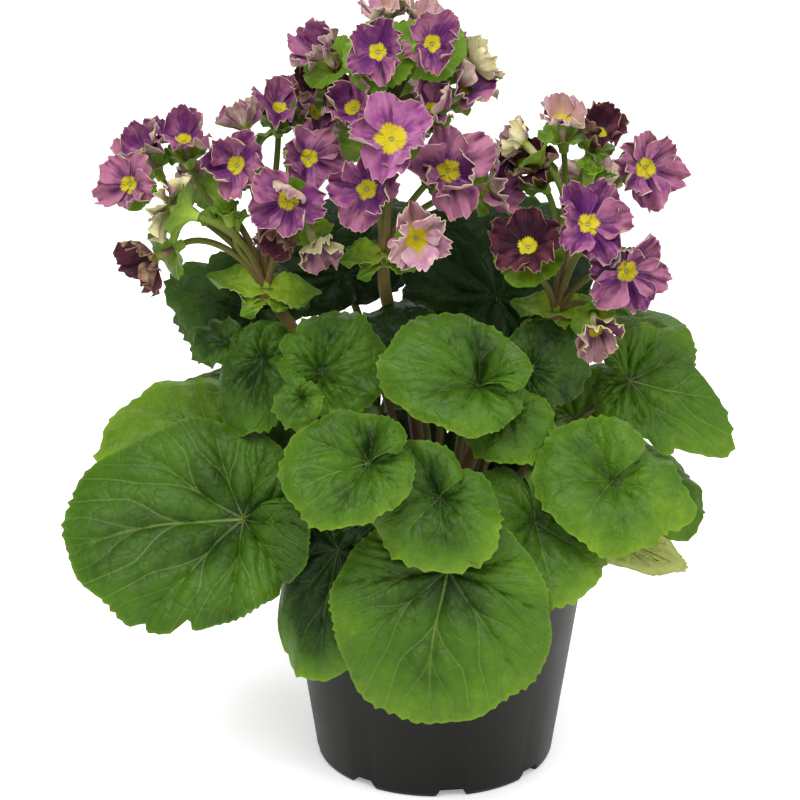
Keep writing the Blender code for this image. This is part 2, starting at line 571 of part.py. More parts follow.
def cup_rings(radius, gap, axes, base):
    """The foot and the five-toothed mouth of a green cup that stops gap below the base."""
    foot = base - axes.col[2] * (gap + CUP_LENGTH)
    mouth = ring(axes, base - axes.col[2] * gap, radius, 2 * PETALS)
    for index, point in enumerate(mouth):
        if index % 2:
            mouth[index] = point + (base - point) * (1 - CUP_NOTCH) - axes.col[2] * CUP_TOOTH
        else:
            mouth[index] = point + axes.col[2] * CUP_TOOTH
    return [ring(axes, foot, CUP_FOOT_RADIUS, PETALS), mouth]


def corolla_rings(bloom, axes, foot_drop, around):
    """The tube from its foot to the face, and the edge of the petals below and above."""
    eye = Vector(bloom.eye)
    out = axes.col[2]
    rings = [
        ring(axes, eye - out * foot_drop, TUBE_FOOT_RADIUS, PETALS),
        ring(axes, eye - out * PETAL_THICKNESS / 2, TUBE_RADIUS, PETALS),
    ]
    for side in (-1, 1):
        edge = []
        for index in range(around):
            angle = TAU * index / around
            height, radius = corolla_rim(bloom, angle)
            height += side * PETAL_THICKNESS / 2
            edge.append(eye + axes @ Vector((radius * math.cos(angle), radius * math.sin(angle), height)))
        rings.append(edge)
    return rings


def loft(name, rings, end, collection):
    """A closed solid through rings of 5, 10, 15 or 20 points, from a flat start to an end point."""
    bm = bmesh.new()
    verts = [[bm.verts.new(point * MM) for point in points] for points in rings]
    bm.faces.new(verts[0][::-1])
    for low, high in zip(verts, verts[1:]):
        few, many, flip = (low, high, False) if len(low) <= len(high) else (high, low, True)
        ratio = len(many) // len(few)
        for index, vert in enumerate(few):
            beside = few[(index + 1) % len(few)]
            first = index * ratio
            half = (ratio + 1) // 2
            for step in range(ratio):
                here = many[(first + step) % len(many)]
                there = many[(first + step + 1) % len(many)]
                corner = vert if step < half else beside
                bm.faces.new((corner, there, here) if not flip else (corner, here, there))
            turning = many[(first + half) % len(many)]
            bm.faces.new((vert, beside, turning) if not flip else (vert, turning, beside))
    middle = bm.verts.new(end * MM)
    last = verts[-1]
    for index, vert in enumerate(last):
        bm.faces.new((vert, last[(index + 1) % len(last)], middle))
    bmesh.ops.recalc_face_normals(bm, faces=bm.faces)
    bmesh.ops.triangulate(bm, faces=bm.faces)
    mesh = bpy.data.meshes.new(name)
    bm.to_mesh(mesh)
    bm.free()
    return new_object(name, mesh, collection)


def pedicel_rings(start, foot, axes):
    """Rings of a thin stalk from the umbel, up and over to the foot of a cup that looks along the axes."""
    start = start + (foot - start).normalized() * PEDICEL_START
    length = (foot - start).length
    rise = start + Vector((0, 0, length * 0.25)) + (foot - start) * 0.12
    arrive = foot - axes.col[2] * length * 0.35
    rings = []
    across = axes.col[0]
    for step in range(PEDICEL_STEPS):
        share = step / PEDICEL_STEPS
        here = bezier(start, rise, arrive, foot, share)
        ahead = bezier(start, rise, arrive, foot, share + 0.05) - here
        rings.append((here, ahead.normalized()))
    rings.append((foot, axes.col[2]))
    made = []
    for place, along in reversed(rings):
        across = (across - along * across.dot(along)).normalized()
        turn = Matrix((across, along.cross(across), along)).transposed()
        made.append(ring(turn, place, PEDICEL_RADIUS, PETALS))
    return made[:0:-1]


def make_flower_stalk(name, bloom, start, collection):
    """A thin stalk with its cup and, where the bloom has no name, with its corolla too."""
    out = Vector(bloom.face).normalized()
    axes = axes_of(out.orthogonal(), out)
    eye = Vector(bloom.eye)
    cup = cup_rings(bloom.cup, CUP_GAP, axes, eye)
    rings = pedicel_rings(start, eye - out * (CUP_GAP + CUP_LENGTH), axes) + cup
    end = eye - out * (CUP_GAP + CUP_FUNNEL)
    if not bloom.name:
        rings += corolla_rings(bloom, axes, CUP_GAP + CUP_FUNNEL - 1, JOINED_LIMB_AROUND)
        end = eye + out * PETAL_THICKNESS / 2
    return loft(name, rings, end, collection)


def make_bud(name, place, out, start, collection):
    out = Vector(out).normalized()
    axes = axes_of(out.orthogonal(), out)
    place = Vector(place)
    rings = pedicel_rings(start, place - out * CUP_LENGTH, axes) + cup_rings(BUD_RADIUS, 0, axes, place)
    return loft(name, rings, place + out * 1.5, collection)


def smooth_way(points, steps):
    """Points of a soft curve through the given points."""
    points = [Vector(point) for point in points]
    ends = [points[0] * 2 - points[1]] + points + [points[-1] * 2 - points[-2]]
    way = [points[0]]
    for index in range(1, len(points)):
        before, start, end, after = ends[index - 1 : index + 3]
        for step in range(1, steps + 1):
            first = start + (end - before) / 6
            second = end - (after - start) / 6
            way.append(bezier(start, first, second, end, step / steps))
    return way


def make_stalk(stalk, blooms, scrap, parts):
    way = [Vector(stalk.way[0])] + smooth_way(stalk.way[1:], SCAPE_STEPS)
    taper = (SCAPE_TOP_RADIUS - SCAPE_FOOT_RADIUS) / (len(way) - 1)
    radii = [SCAPE_FOOT_RADIUS + taper * index for index in range(len(way))]
    pieces = [tube(stalk.name + "_scape", [point * MM for point in way], radii, 6, scrap)]
    for index, umbel in enumerate(stalk.umbels):
        bm = bmesh.new()
        bmesh.ops.create_uvsphere(bm, u_segments=6, v_segments=4, radius=UMBEL_RADIUS * MM)
        bmesh.ops.translate(bm, verts=bm.verts, vec=vec(umbel))
        mesh = bpy.data.meshes.new(f"umbel_{index}")
        bm.to_mesh(mesh)
        bm.free()
        pieces.append(new_object(mesh.name, mesh, scrap))
    for index, bloom in enumerate(blooms):
        start = Vector(stalk.umbels[bloom.umbel[1]])
        pieces.append(make_flower_stalk(f"flower_{index}", bloom, start, scrap))
    for index, (place, out) in enumerate(stalk.buds):
        start = min((Vector(umbel) for umbel in stalk.umbels), key=lambda spot: (spot - Vector(place)).length)
        pieces.append(make_bud(f"bud_{index}", place, out, start, scrap))
    for index, (at, tip, wide) in enumerate(stalk.bracts):
        pieces.append(make_bract(f"bract_{index}", Vector(at), Vector(tip), wide, scrap))
    paint(fuse(stalk.name, pieces, scrap, parts), stalk.name, CUP_GREEN, 0.6)


def make_bract(name, at, tip, wide, collection):
    """A small pointed leaf at the foot of an umbel."""
    reach = (tip - at).length
    axes = axes_of(tip - at, Vector((0, -0.8, 0.6)))

    def shape(turn, share):
        along = -2 + (reach + 2) * share
        across = turn * wide / 2 * math.sin(math.pi * (0.12 + 0.8 * share) ** 0.8)
        return (at + axes @ Vector((along, across, abs(turn) * 1.5))) * MM

    return sheet(name, shape, 2, 3, BRACT_THICKNESS, collection)


def make_corolla(bloom, parts):
    name = "bloom_" + bloom.name
    out = Vector(bloom.face).normalized()
    rings = corolla_rings(bloom, axes_of(out.orthogonal(), out), tube_length(bloom), LIMB_AROUND)
    obj = loft(name, rings, Vector(bloom.eye) + out * PETAL_THICKNESS / 2, parts)
    paint(obj, name, COLOURS[bloom.kind], 0.6)


def main():
    for obj in list(bpy.data.objects):
        bpy.data.objects.remove(obj)
    parts = new_collection("potted_primrose")
    scrap = new_collection("working")
    for leaf in LEAVES:
        make_leaf(leaf, scrap, parts)
    for key, stalk in STALKS.items():
        make_stalk(stalk, [bloom for bloom in BLOOMS if bloom.umbel[0] == key], scrap, parts)
    for bloom in BLOOMS:
        if bloom.name:
            make_corolla(bloom, parts)
    bpy.data.collections.remove(scrap)
    make_pot(parts, new_collection("pot_cutters"))
    holes = [(leaf.hole, STALK_FOOT_RADIUS, BLADE_GRID[leaf.size][2]) for leaf in LEAVES]
    holes += [(stalk.way[0][:2], SCAPE_FOOT_RADIUS, 6) for stalk in STALKS.values()]
    make_soil(parts, new_collection("soil_cutters"), holes)


main()
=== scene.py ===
"""The potted primrose's looks: fine leaves, frilled corollas, toothed cups, stalks, soil and pot on the
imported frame, with a plain pale floor and soft light. Places and sizes are in millimetres, as in the part."""

import json
import math
import random
from collections import namedtuple

import bmesh
import bpy
import numpy as np
from mathutils import Euler, Matrix, Vector

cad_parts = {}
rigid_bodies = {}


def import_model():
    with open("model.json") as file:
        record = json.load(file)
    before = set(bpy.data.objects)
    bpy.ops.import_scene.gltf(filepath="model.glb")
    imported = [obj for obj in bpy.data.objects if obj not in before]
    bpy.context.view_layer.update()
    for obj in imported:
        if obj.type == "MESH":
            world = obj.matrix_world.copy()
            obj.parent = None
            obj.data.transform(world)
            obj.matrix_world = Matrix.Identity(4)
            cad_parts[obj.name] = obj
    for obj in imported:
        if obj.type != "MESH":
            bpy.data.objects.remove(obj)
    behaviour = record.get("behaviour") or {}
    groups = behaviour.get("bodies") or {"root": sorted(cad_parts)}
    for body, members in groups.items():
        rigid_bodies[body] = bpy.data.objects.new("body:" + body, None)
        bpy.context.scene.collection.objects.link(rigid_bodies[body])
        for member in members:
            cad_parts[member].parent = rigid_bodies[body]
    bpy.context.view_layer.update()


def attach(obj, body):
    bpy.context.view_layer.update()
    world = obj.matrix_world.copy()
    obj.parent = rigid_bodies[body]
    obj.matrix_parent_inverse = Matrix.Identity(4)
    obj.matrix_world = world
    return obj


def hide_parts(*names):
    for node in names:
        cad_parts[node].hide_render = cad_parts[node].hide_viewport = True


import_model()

MM = 0.001
TAU = 2 * math.pi
SEED = 7
SHARP_ANGLE = math.radians(62)
NOISE_TURNS = np.array([127.1, 311.7, 74.7])
NOISE_SPREAD = 43758.5453

# Places of a piece's materials in its list.
FACE, BACK, STEM, THIN_STEM = range(4)
PISTIL = 2

# Pot
POT_HEIGHT = 92.0
RIM_RADIUS = 65.0
LIP_HEIGHT = 11.0
WALL_TOP_RADIUS = 58.6
BASE_RADIUS = 46.7
WALL = 1.6
FLOOR = 2.0
RING_HEIGHT = 7.0
RING_INNER_RADIUS = 33.0
POT_STEPS = 144
POT_SHARP_ANGLE = math.radians(28)
NOTCHES = 8
NOTCH_TURN = math.radians(-82.5)
NOTCH_WIDTH = 13.6
NOTCH_TOP_WIDTH = 8.6
NOTCH_HEIGHT = 4.0
NOTCH_DEPTH = 6.5
DRAIN_RADIUS = 2.2

# Soil
SOIL_EDGE = 79.0
SOIL_RISE = 2.5
SOIL_FOOT = 60.0
SOIL_GRID = (120, 44)
CRUMBS = 420
CRUMB_SIZES = (0.7, 2.2)
CRUMB_THICKNESS = 0.6
CRUMB_SIDES = 6

# A crumb: place along it, and radius.
CRUMB_PROFILE = ((-1.0, 0.3), (-0.6, 0.8), (0.0, 1.0), (0.7, 0.7), (1.0, 0.2))

# Leaves: sizes in millimetres, and factors on the values of the table of leaves.
BLADE_THICKNESS = 0.5
STALK_FOOT_RADIUS = 2.0
STALK_TOP_RADIUS = 1.5
STALK_SIDES = 10
STALK_STEPS = 14
MORE_LAP = 14
EAR_ROUND = 0.42
EDGE_ROLL = 1.6
CREASE = 0.040
TEETH_PER_MM = 0.7
TOOTH_HEIGHT = 2.1
SCALLOP_DEPTH = 0.020
DISH_DEEPER = 1.35
WAVE_HIGHER = 1.3
RIPPLE_HEIGHT = 1.2
QUILT_HEIGHT = 1.15
PUCKER_HEIGHT = 0.95

# The two lobes beside the notch, by the leaf's reach: how steeply the upper one rises from the stalk, how
# much of that it loses on the way to the margin, and how far the lower one sinks.
LOBE_RISE = 0.36
LOBE_LEVEL = 0.19
LOBE_DROP = 0.08

# Veins: the turn between two main ones, and where side veins leave (share of the way out), how far they go
# to the side and how strong they are.
VEIN_GAP = 0.2
FORKS = ((0.28, 0.078, 0.55), (0.52, 0.048, 0.35), (0.72, 0.024, 0.25))
FORK_LENGTH = 0.42

# Blooms
PETALS = 5
NARROW_PETAL = 0.88
PETAL_THICKNESS = 0.22
THROAT_THICKNESS = 0.3
PETAL_GRID = (25, 11)
PETAL_LENGTH = 1.10
EYE_RADIUS = 1.0
CUP_GAP = 3.4
CUP_LENGTH = 8.5
CUP_FOOT_RADIUS = 1.7
CUP_SPREAD = 1.18
CUP_GRID = (92, 9)
BUD_AROUND = 60
BRACT_GRID = (17, 18)
BRACT_THICKNESS = 0.45
PEDICEL_RADIUS = 1.1
PEDICEL_STEPS = 16
BUD_STALK_STEPS = 14
PEDICEL_START = 4.2
SCAPE_FOOT_RADIUS = 2.9
SCAPE_TOP_RADIUS = 2.3
SCAPE_SIDES = 14
WAY_STEPS = 7
FINE_SIDES = 8
BUD_RADIUS = 3.0
SMALL_BRACTS = 6

# Round forms as height and radius: the swelling at each umbel, and a bloom's throat, pistil and tube, out of
# the plane of its eye.
UMBEL_PROFILE = ((-4.5, 2.2), (-3.2, 3.2), (-1.2, 4.3), (0.4, 4.3), (1.4, 3.1), (2.0, 1.2))
THROAT_PROFILE = ((0.25, EYE_RADIUS + 0.5), (-0.6, EYE_RADIUS), (-2.0, 0.9), (-3.0, 0.2))
PISTIL_PROFILE = ((-2.2, 0.3), (-0.9, 0.3), (-0.3, 0.5), (0.1, 0.3))
TUBE_PROFILE = ((-0.4, 1.7), (-CUP_GAP - 1.5, 1.45), (-CUP_GAP - 4.5, 1.1))
ROUND_SIDES = 12

# Camera and lights, in metres: the camera looks down by its pitch at a point on the plant's middle plane.
CAMERA_PITCH = math.radians(20.5)
CAMERA_AWAY = 1.25
CAMERA_AIM = Vector((-0.0139, 0.0, 0.1481))
CAMERA_LENS = 145.35
CAMERA_SENSOR = 36.0
LIGHT_AIM = Vector((0.0, 0.0, 0.15))
FLOOR_SIZE = 6.0

# Each light's place, size and power in watts.
LIGHTS = {
    "key": (Vector((-0.30, -1.0, 1.75)), 1.7, 58.0),
    "fill": (Vector((1.25, -0.55, 0.75)), 1.2, 11.0),
    "back": (Vector((0.2, 1.3, 1.4)), 1.7, 20.0),
}

# A leaf: hole is where its stalk stands in the soil, at is where the stalk meets the blade, tip is the far
# end of the middle vein and face the way that the upper side looks. wide is the full width, heart how far
# the middle of the round blade lies ahead of the stalk, lap how far the two lobes overlap (degrees) and
# front which lobe lies on top (1 or -1). dish is the depth of the funnel round the stalk, fall the droop of
# the margin, bend the droop of the tip, and wave, waves and turn make the waved edge. lean turns the end of
# the stalk towards the tip.
Leaf = namedtuple(
    "Leaf",
    "name size hole at tip face wide heart lap front dish fall bend wave waves turn lean",
    defaults=(6, 1, 3, 3, 3, 1.8, 5, 0.3, 0.25),
)

LEAVES = [
    Leaf("leaf_01", "large", (-17, -8), (-73, -38, 114), (-141, -48, 112), (-0.05, -0.80, 0.60),
         wide=82, heart=0.43, lap=14, dish=5, bend=4, wave=1.6, turn=0.4),
    Leaf("leaf_02", "middle", (-11, -17), (-25, -66, 148), (-56, -78, 144), (-0.05, -0.80, 0.60), lean=-0.15,
         wide=44, heart=0.33, lap=16, front=-1, dish=5, fall=2, bend=1, wave=1.2, turn=1.1),
    Leaf("leaf_03", "middle", (-12, 3), (-44, -28, 169), (-22, -18, 182), (0.05, -0.80, 0.60),
         wide=42, heart=0.30, lap=4, fall=2, bend=2, wave=1.6, turn=0.2),
    Leaf("leaf_04", "middle", (6, -10), (16, -36, 167), (-17, -42, 185), (0.08, -0.78, 0.62), lean=-0.2,
         wide=48, heart=0.35, lap=14, front=-1, dish=7, fall=2, bend=2, wave=1.4, turn=2.0),
    Leaf("leaf_05", "middle", (3, -20), (1, -62, 133), (-15, -76, 118), (-0.05, -0.90, 0.43),
         wide=55, heart=0.22, lap=12, front=-1, dish=6, fall=2, bend=2, wave=1.2, turn=0.7),
    Leaf("leaf_06", "middle", (13, -17), (37, -43, 115), (46, -65, 90), (0.10, -0.76, 0.64),
         wide=52, heart=0.30, lap=-6, dish=5, fall=2, bend=2, wave=1.2, waves=4, turn=1.3),
    Leaf("leaf_07", "large", (-2, -26), (4, -65, 105), (-5, -88, 53), (-0.05, -0.93, 0.37),
         wide=82, heart=0.45, lap=-8, dish=4, fall=4, wave=1.6),
    Leaf("leaf_08", "small", (-13, -22), (-37, -50, 107), (-52, -75, 65), (-0.42, -0.83, 0.36),
         wide=46, heart=0.40, lap=-8, wave=1.4, waves=4, turn=1.9),
    Leaf("leaf_09", "middle", (22, -14), (66, -44, 132), (49, -62, 119), (0.10, -0.76, 0.64),
         wide=58, heart=0.15, lap=14, front=-1, dish=6, bend=2, wave=1.4, turn=2.4),
    Leaf("leaf_10", "middle", (19, 2), (75, 8, 153), (116, 4, 144), (0.10, -0.74, 0.66),
         wide=54, heart=0.50, lap=-6, fall=2, waves=4, turn=0.9),
    Leaf("leaf_11", "small", (16, 11), (56, 26, 129), (89, 42, 143), (0.05, -0.60, 0.80),
         wide=40, heart=0.45, lap=-4, fall=2, bend=2, wave=1.6, waves=4, turn=0.5),
    Leaf("leaf_12", "small", (12, -4), (36, -12, 165), (57, -13, 175), (0.15, -0.90, 0.42),
         wide=34, heart=0.40, fall=2, bend=2, wave=1.2, waves=4, turn=1.5),
    Leaf("leaf_13", "small", (13, 20), (67, 46, 167), (99, 56, 173), (0.10, 0.45, 0.88), lean=1.0,
         wide=44, heart=0.45, lap=-6, wave=1.6, waves=4, turn=2.2),
    Leaf("leaf_14", "small", (27, -3), (64, -21, 102), (95, -28, 90), (0.00, -0.80, 0.60),
         wide=20, heart=0.10, lap=-20, dish=1, fall=1, bend=1, wave=0.8, waves=3, turn=0.2),
    Leaf("leaf_15", "small", (22, 9), (74, 18, 108), (105, 8, 96), (0.20, -0.45, 0.87),
         wide=50, heart=0.30, lap=-4, wave=1.6, waves=4, turn=0.8),
    Leaf("leaf_16", "small", (-15, 16), (-70, 32, 174), (-107, 38, 181), (-0.15, -0.90, 0.42),
         wide=42, heart=0.30, lap=4, turn=1.2),
    Leaf("leaf_17", "small", (-18, 2), (-66, -12, 169), (-79, -30, 148), (-0.35, -0.80, 0.50),
         wide=30, heart=0.30, lap=8, fall=2, turn=0.1),
    Leaf("leaf_18", "small", (-19, 9), (-80, 4, 170), (-92, -2, 178), (-0.30, -0.70, 0.65),
         wide=20, heart=0.40, lap=4, dish=2, fall=1, bend=1, wave=1.2, waves=4, turn=2.0),
    Leaf("leaf_19", "small", (-22, -2), (-87, 14, 128), (-133, 10, 131), (-0.05, -0.55, 0.83),
         wide=56, heart=0.30, lap=-4, wave=1.6, waves=4, turn=0.6),
    Leaf("leaf_20", "small", (7, 14), (24, 36, 178), (20, 48, 218), (0.00, -0.92, 0.40),
         wide=76, heart=0.25, turn=0.9),
    Leaf("leaf_21", "small", (-8, 16), (-36, 52, 182), (-46, 60, 211), (0.00, -0.90, 0.43),
         wide=72, heart=0.35, turn=1.7),
    Leaf("leaf_22", "small", (0, -4), (-10, -7, 171), (-24, -5, 188), (0.00, -0.80, 0.60),
         wide=34, heart=0.30, dish=2, fall=2, bend=2, wave=1.6, waves=4),
    Leaf("leaf_23", "small", (-26, -9), (-52, -8, 130), (-64, -10, 143), (-0.10, -0.70, 0.70),
         wide=26, heart=0.30, dish=2, fall=2, bend=2, wave=1.4, waves=4, turn=2.6),
    Leaf("leaf_24", "small", (-18, 22), (-64, 60, 140), (-108, 72, 142), (-0.20, 0.20, 0.96),
         wide=48, heart=0.30, lap=-4, bend=4, turn=0.4),
    Leaf("leaf_25", "small", (-6, 25), (-22, 60, 122), (-34, 98, 90), (-0.10, 0.70, 0.70),
         wide=56, heart=0.35, lap=-4, dish=4, bend=4, turn=1.4),
    Leaf("leaf_26", "small", (8, 26), (32, 58, 122), (54, 92, 94), (0.10, 0.70, 0.70),
         wide=66, heart=0.35, lap=-4, dish=4, bend=4, turn=2.4),
    Leaf("leaf_27", "small", (0, 19), (4, 56, 153), (6, 90, 152), (0.00, 0.45, 0.89),
         wide=50, heart=0.30, lap=-4, bend=4, turn=0.8),
    Leaf("leaf_28", "small", (11, -7), (27, -33, 157), (29, -48, 142), (0.05, -0.80, 0.60),
         wide=34, heart=0.45, lap=-30, dish=2, fall=2, bend=2, wave=1.2, waves=4, turn=1.8),
    Leaf("leaf_29", "small", (-20, -15), (-50, -48, 167), (-56, -54, 158), (-0.20, -0.80, 0.55), lean=-1.2,
         wide=18, heart=0.30, fall=1, bend=1, wave=1.0, turn=0.6),
]
YOUNG_LEAVES = [
    Leaf("young_leaf_1", "small", (8, 18), (20, 25, 100), (21, 19, 128), (0.05, -0.85, 0.50),
         wide=48, heart=0.30, dish=2, fall=2, bend=2, wave=1.6, waves=4),
    Leaf("young_leaf_2", "small", (-5, 19), (-13, 26, 104), (-14, 18, 132), (-0.05, -0.85, 0.50),
         wide=44, heart=0.30, dish=2, fall=2, bend=2, wave=1.6, waves=4, turn=1.3),
]

# Points round the blade and from the stalk to the margin.
BLADE_GRID = {"large": (212, 46), "middle": (152, 32), "small": (104, 24)}

# A leaf's tone (0 dark to 1 yellow-green), the strength of its pale veins, how puckered it is, and how much
# yellower and brighter its margin is. The tone is partly the leaf's own colour and partly painted light:
# the darkest tones (leaf_08, leaf_20, leaf_21) are painted shade for leaves lying in shade, leaf_10's
# lighter tone is a painted sheen, and leaf_19's lighter tone is painted light shining through it.
Look = namedtuple("Look", "tone veins puckers margin")

LEAF_LOOK = {
    "leaf_01": (0.34, 0.62, 0.9, 0.08), "leaf_02": (0.42, 0.5, 1.6, 0.26), "leaf_03": (0.38, 0.2, 3.0, 0.26),
    "leaf_04": (0.44, 0.28, 1.2, 0.24), "leaf_05": (0.36, 0.3, 1.3, 0.32), "leaf_06": (0.42, 0.3, 1.0, 0.35),
    "leaf_07": (0.36, 0.5, 1.0, 0.22), "leaf_08": (0.06, 0.3, 1.0, 0.50), "leaf_09": (0.54, 0.3, 0.9, 0.14),
    "leaf_10": (0.46, 0.6, 1.7, 0.14), "leaf_11": (0.70, 0.3, 0.8, 0.20), "leaf_12": (0.24, 0.3, 1.8, 0.15),
    "leaf_13": (0.40, 0.3, 1.0, 0.10), "leaf_14": (1.55, 0.2, 1.0, 0.10), "leaf_15": (0.45, 0.3, 1.0, 0.10),
    "leaf_16": (0.26, 0.2, 1.2, 0.08), "leaf_17": (0.30, 0.2, 2.4, 0.15), "leaf_18": (0.30, 0.2, 1.8, 0.15),
    "leaf_19": (0.74, 0.3, 0.7, 0.15), "leaf_20": (0.04, 0.06, 1, 0.02), "leaf_21": (0.04, 0.06, 1, 0.02),
    "leaf_22": (0.08, 0.1, 1.2, 0.04), "leaf_28": (0.48, 0.3, 0.8, 0.20), "leaf_29": (0.42, 0.3, 2.8, 0.34),
    "young_leaf_1": (0.12, 0.2, 1.2, 0.05), "young_leaf_2": (0.12, 0.2, 1.2, 0.05),
}
PLAIN_LOOK = (0.32, 0.3, 1.1, 0.15)
SPECKLED = ("leaf_14",)

# Where a leaf folds down into a trough beside its upper lobe: turn round the blade, and depth by its reach.
# The trough is also painted darker, as painted shade.
FOLDS = {"leaf_02": (0.55, 0.50), "leaf_04": (0.42, 0.50), "leaf_05": (0.68, 0.30), "leaf_09": (0.50, 0.22)}

# Where a leaf's margin stands out or is cut in: turn round the blade (-1 to 1), spread and amount.
EDGES = {
    "leaf_01": ((0.23, 0.010, -0.07), (0.31, 0.014, -0.13), (0.57, 0.018, -0.09), (-0.25, 0.10, -0.03)),
    "leaf_03": ((0.45, 0.030, -0.16), (0.62, 0.030, -0.14), (-0.50, 0.030, -0.12)),
    "leaf_04": ((-0.30, 0.020, -0.05), (0.35, 0.12, -0.08)),
    "leaf_05": ((-0.45, 0.020, -0.06), (0.10, 0.30, 0.03)),
    "leaf_06": ((-0.60, 0.12, 0.26), (-0.42, 0.02, -0.08), (-0.90, 0.2, 0.45), (0.90, 0.25, 0.45)),
    "leaf_09": ((0.57, 0.10, 0.20), (0.40, 0.05, -0.05), (0.78, 0.05, 0.08)),
    "leaf_10": (
        (0.13, 0.13, -0.30), (-0.11, 0.05, 0.17), (-0.35, 0.035, -0.20),
        (-0.24, 0.02, -0.08), (0.33, 0.05, 0.08),
    ),
    "leaf_16": ((0.30, 0.020, -0.12), (0.10, 0.020, -0.10), (-0.2, 0.025, -0.12), (-0.4, 0.02, -0.08)),
    "leaf_17": ((0.30, 0.030, -0.14), (-0.25, 0.025, -0.12), (0.6, 0.03, -0.12)),
    "leaf_20": ((0.40, 0.030, -0.08), (-0.30, 0.030, -0.08)),
}

# A bloom: eye is the middle of its face, and face is the way that it looks. kind gives the colour, cup the
# radius of its green cup, bowl how steeply the petals rise (degrees), and umbel which of its stalk's umbels
# it grows from. pose is the turn of the first petal from the top (degrees, to the left), the bloom's tone,
# and how much further each petal bends forward, going round to the left. A bloom with no pose is joined to
# its flower stalk in the part. The others are nodes of their own, numbered in this order.
Bloom = namedtuple("Bloom", "eye face radius kind cup bowl pose umbel", defaults=(None, 0))

# Each flower stalk: the points of its way up from its hole, its umbels (where the thin stalks start), the
# bracts there (start, tip and width) and the buds (place and the way that they look).
Stalk = namedtuple("Stalk", "name way umbels bracts buds")

STALKS = {
    "left": Stalk(
        "stalk_left",
        [(-11, 8, 71.3), (-11, 8, 84), (-20, 8, 120), (-38, 6, 150), (-56, 2, 178), (-65, 0, 193)],
        [(-65, 0, 193)],
        [((-66, -2, 194), (-81, -10, 211), 9), ((-64, -2, 194), (-47, -9, 203), 10)],
        [
            ((-80, -6, 229), (-0.2, -0.3, 0.9)),
            ((-86, -3, 225), (-0.6, -0.3, 0.7)),
            ((-76, 2, 224), (0.1, 0.2, 0.9)),
        ],
    ),
    "middle": Stalk(
        "stalk_middle",
        [
            (-3, 7, 71.3), (-3, 7, 84), (-6, 12, 120), (-12, 16, 160), (-19, 10, 186), (-20, -2, 208),
            (-18, 2, 262),
        ],
        [(-20, -2, 208), (-18, 2, 262)],
        [((-21, -4, 209), (-34, -12, 217), 8), ((-19, -4, 209), (-6, -12, 216), 8)],
        [((-22, 14, 252), (-0.1, 0.6, 0.8))],
    ),
    "right": Stalk(
        "stalk_right",
        [(5, 3, 71.3), (5, 3, 84), (14, 9, 120), (31, 10, 155), (46, 2, 183)],
        [(46, 2, 183)],
        [((47, 0, 184), (60, -6, 197), 8), ((45, 0, 184), (34, -6, 197), 8)],
        [((58, 0, 243), (0.1, -0.2, 1.0)), ((64, 6, 240), (0.5, 0.2, 0.9))],
    ),
}

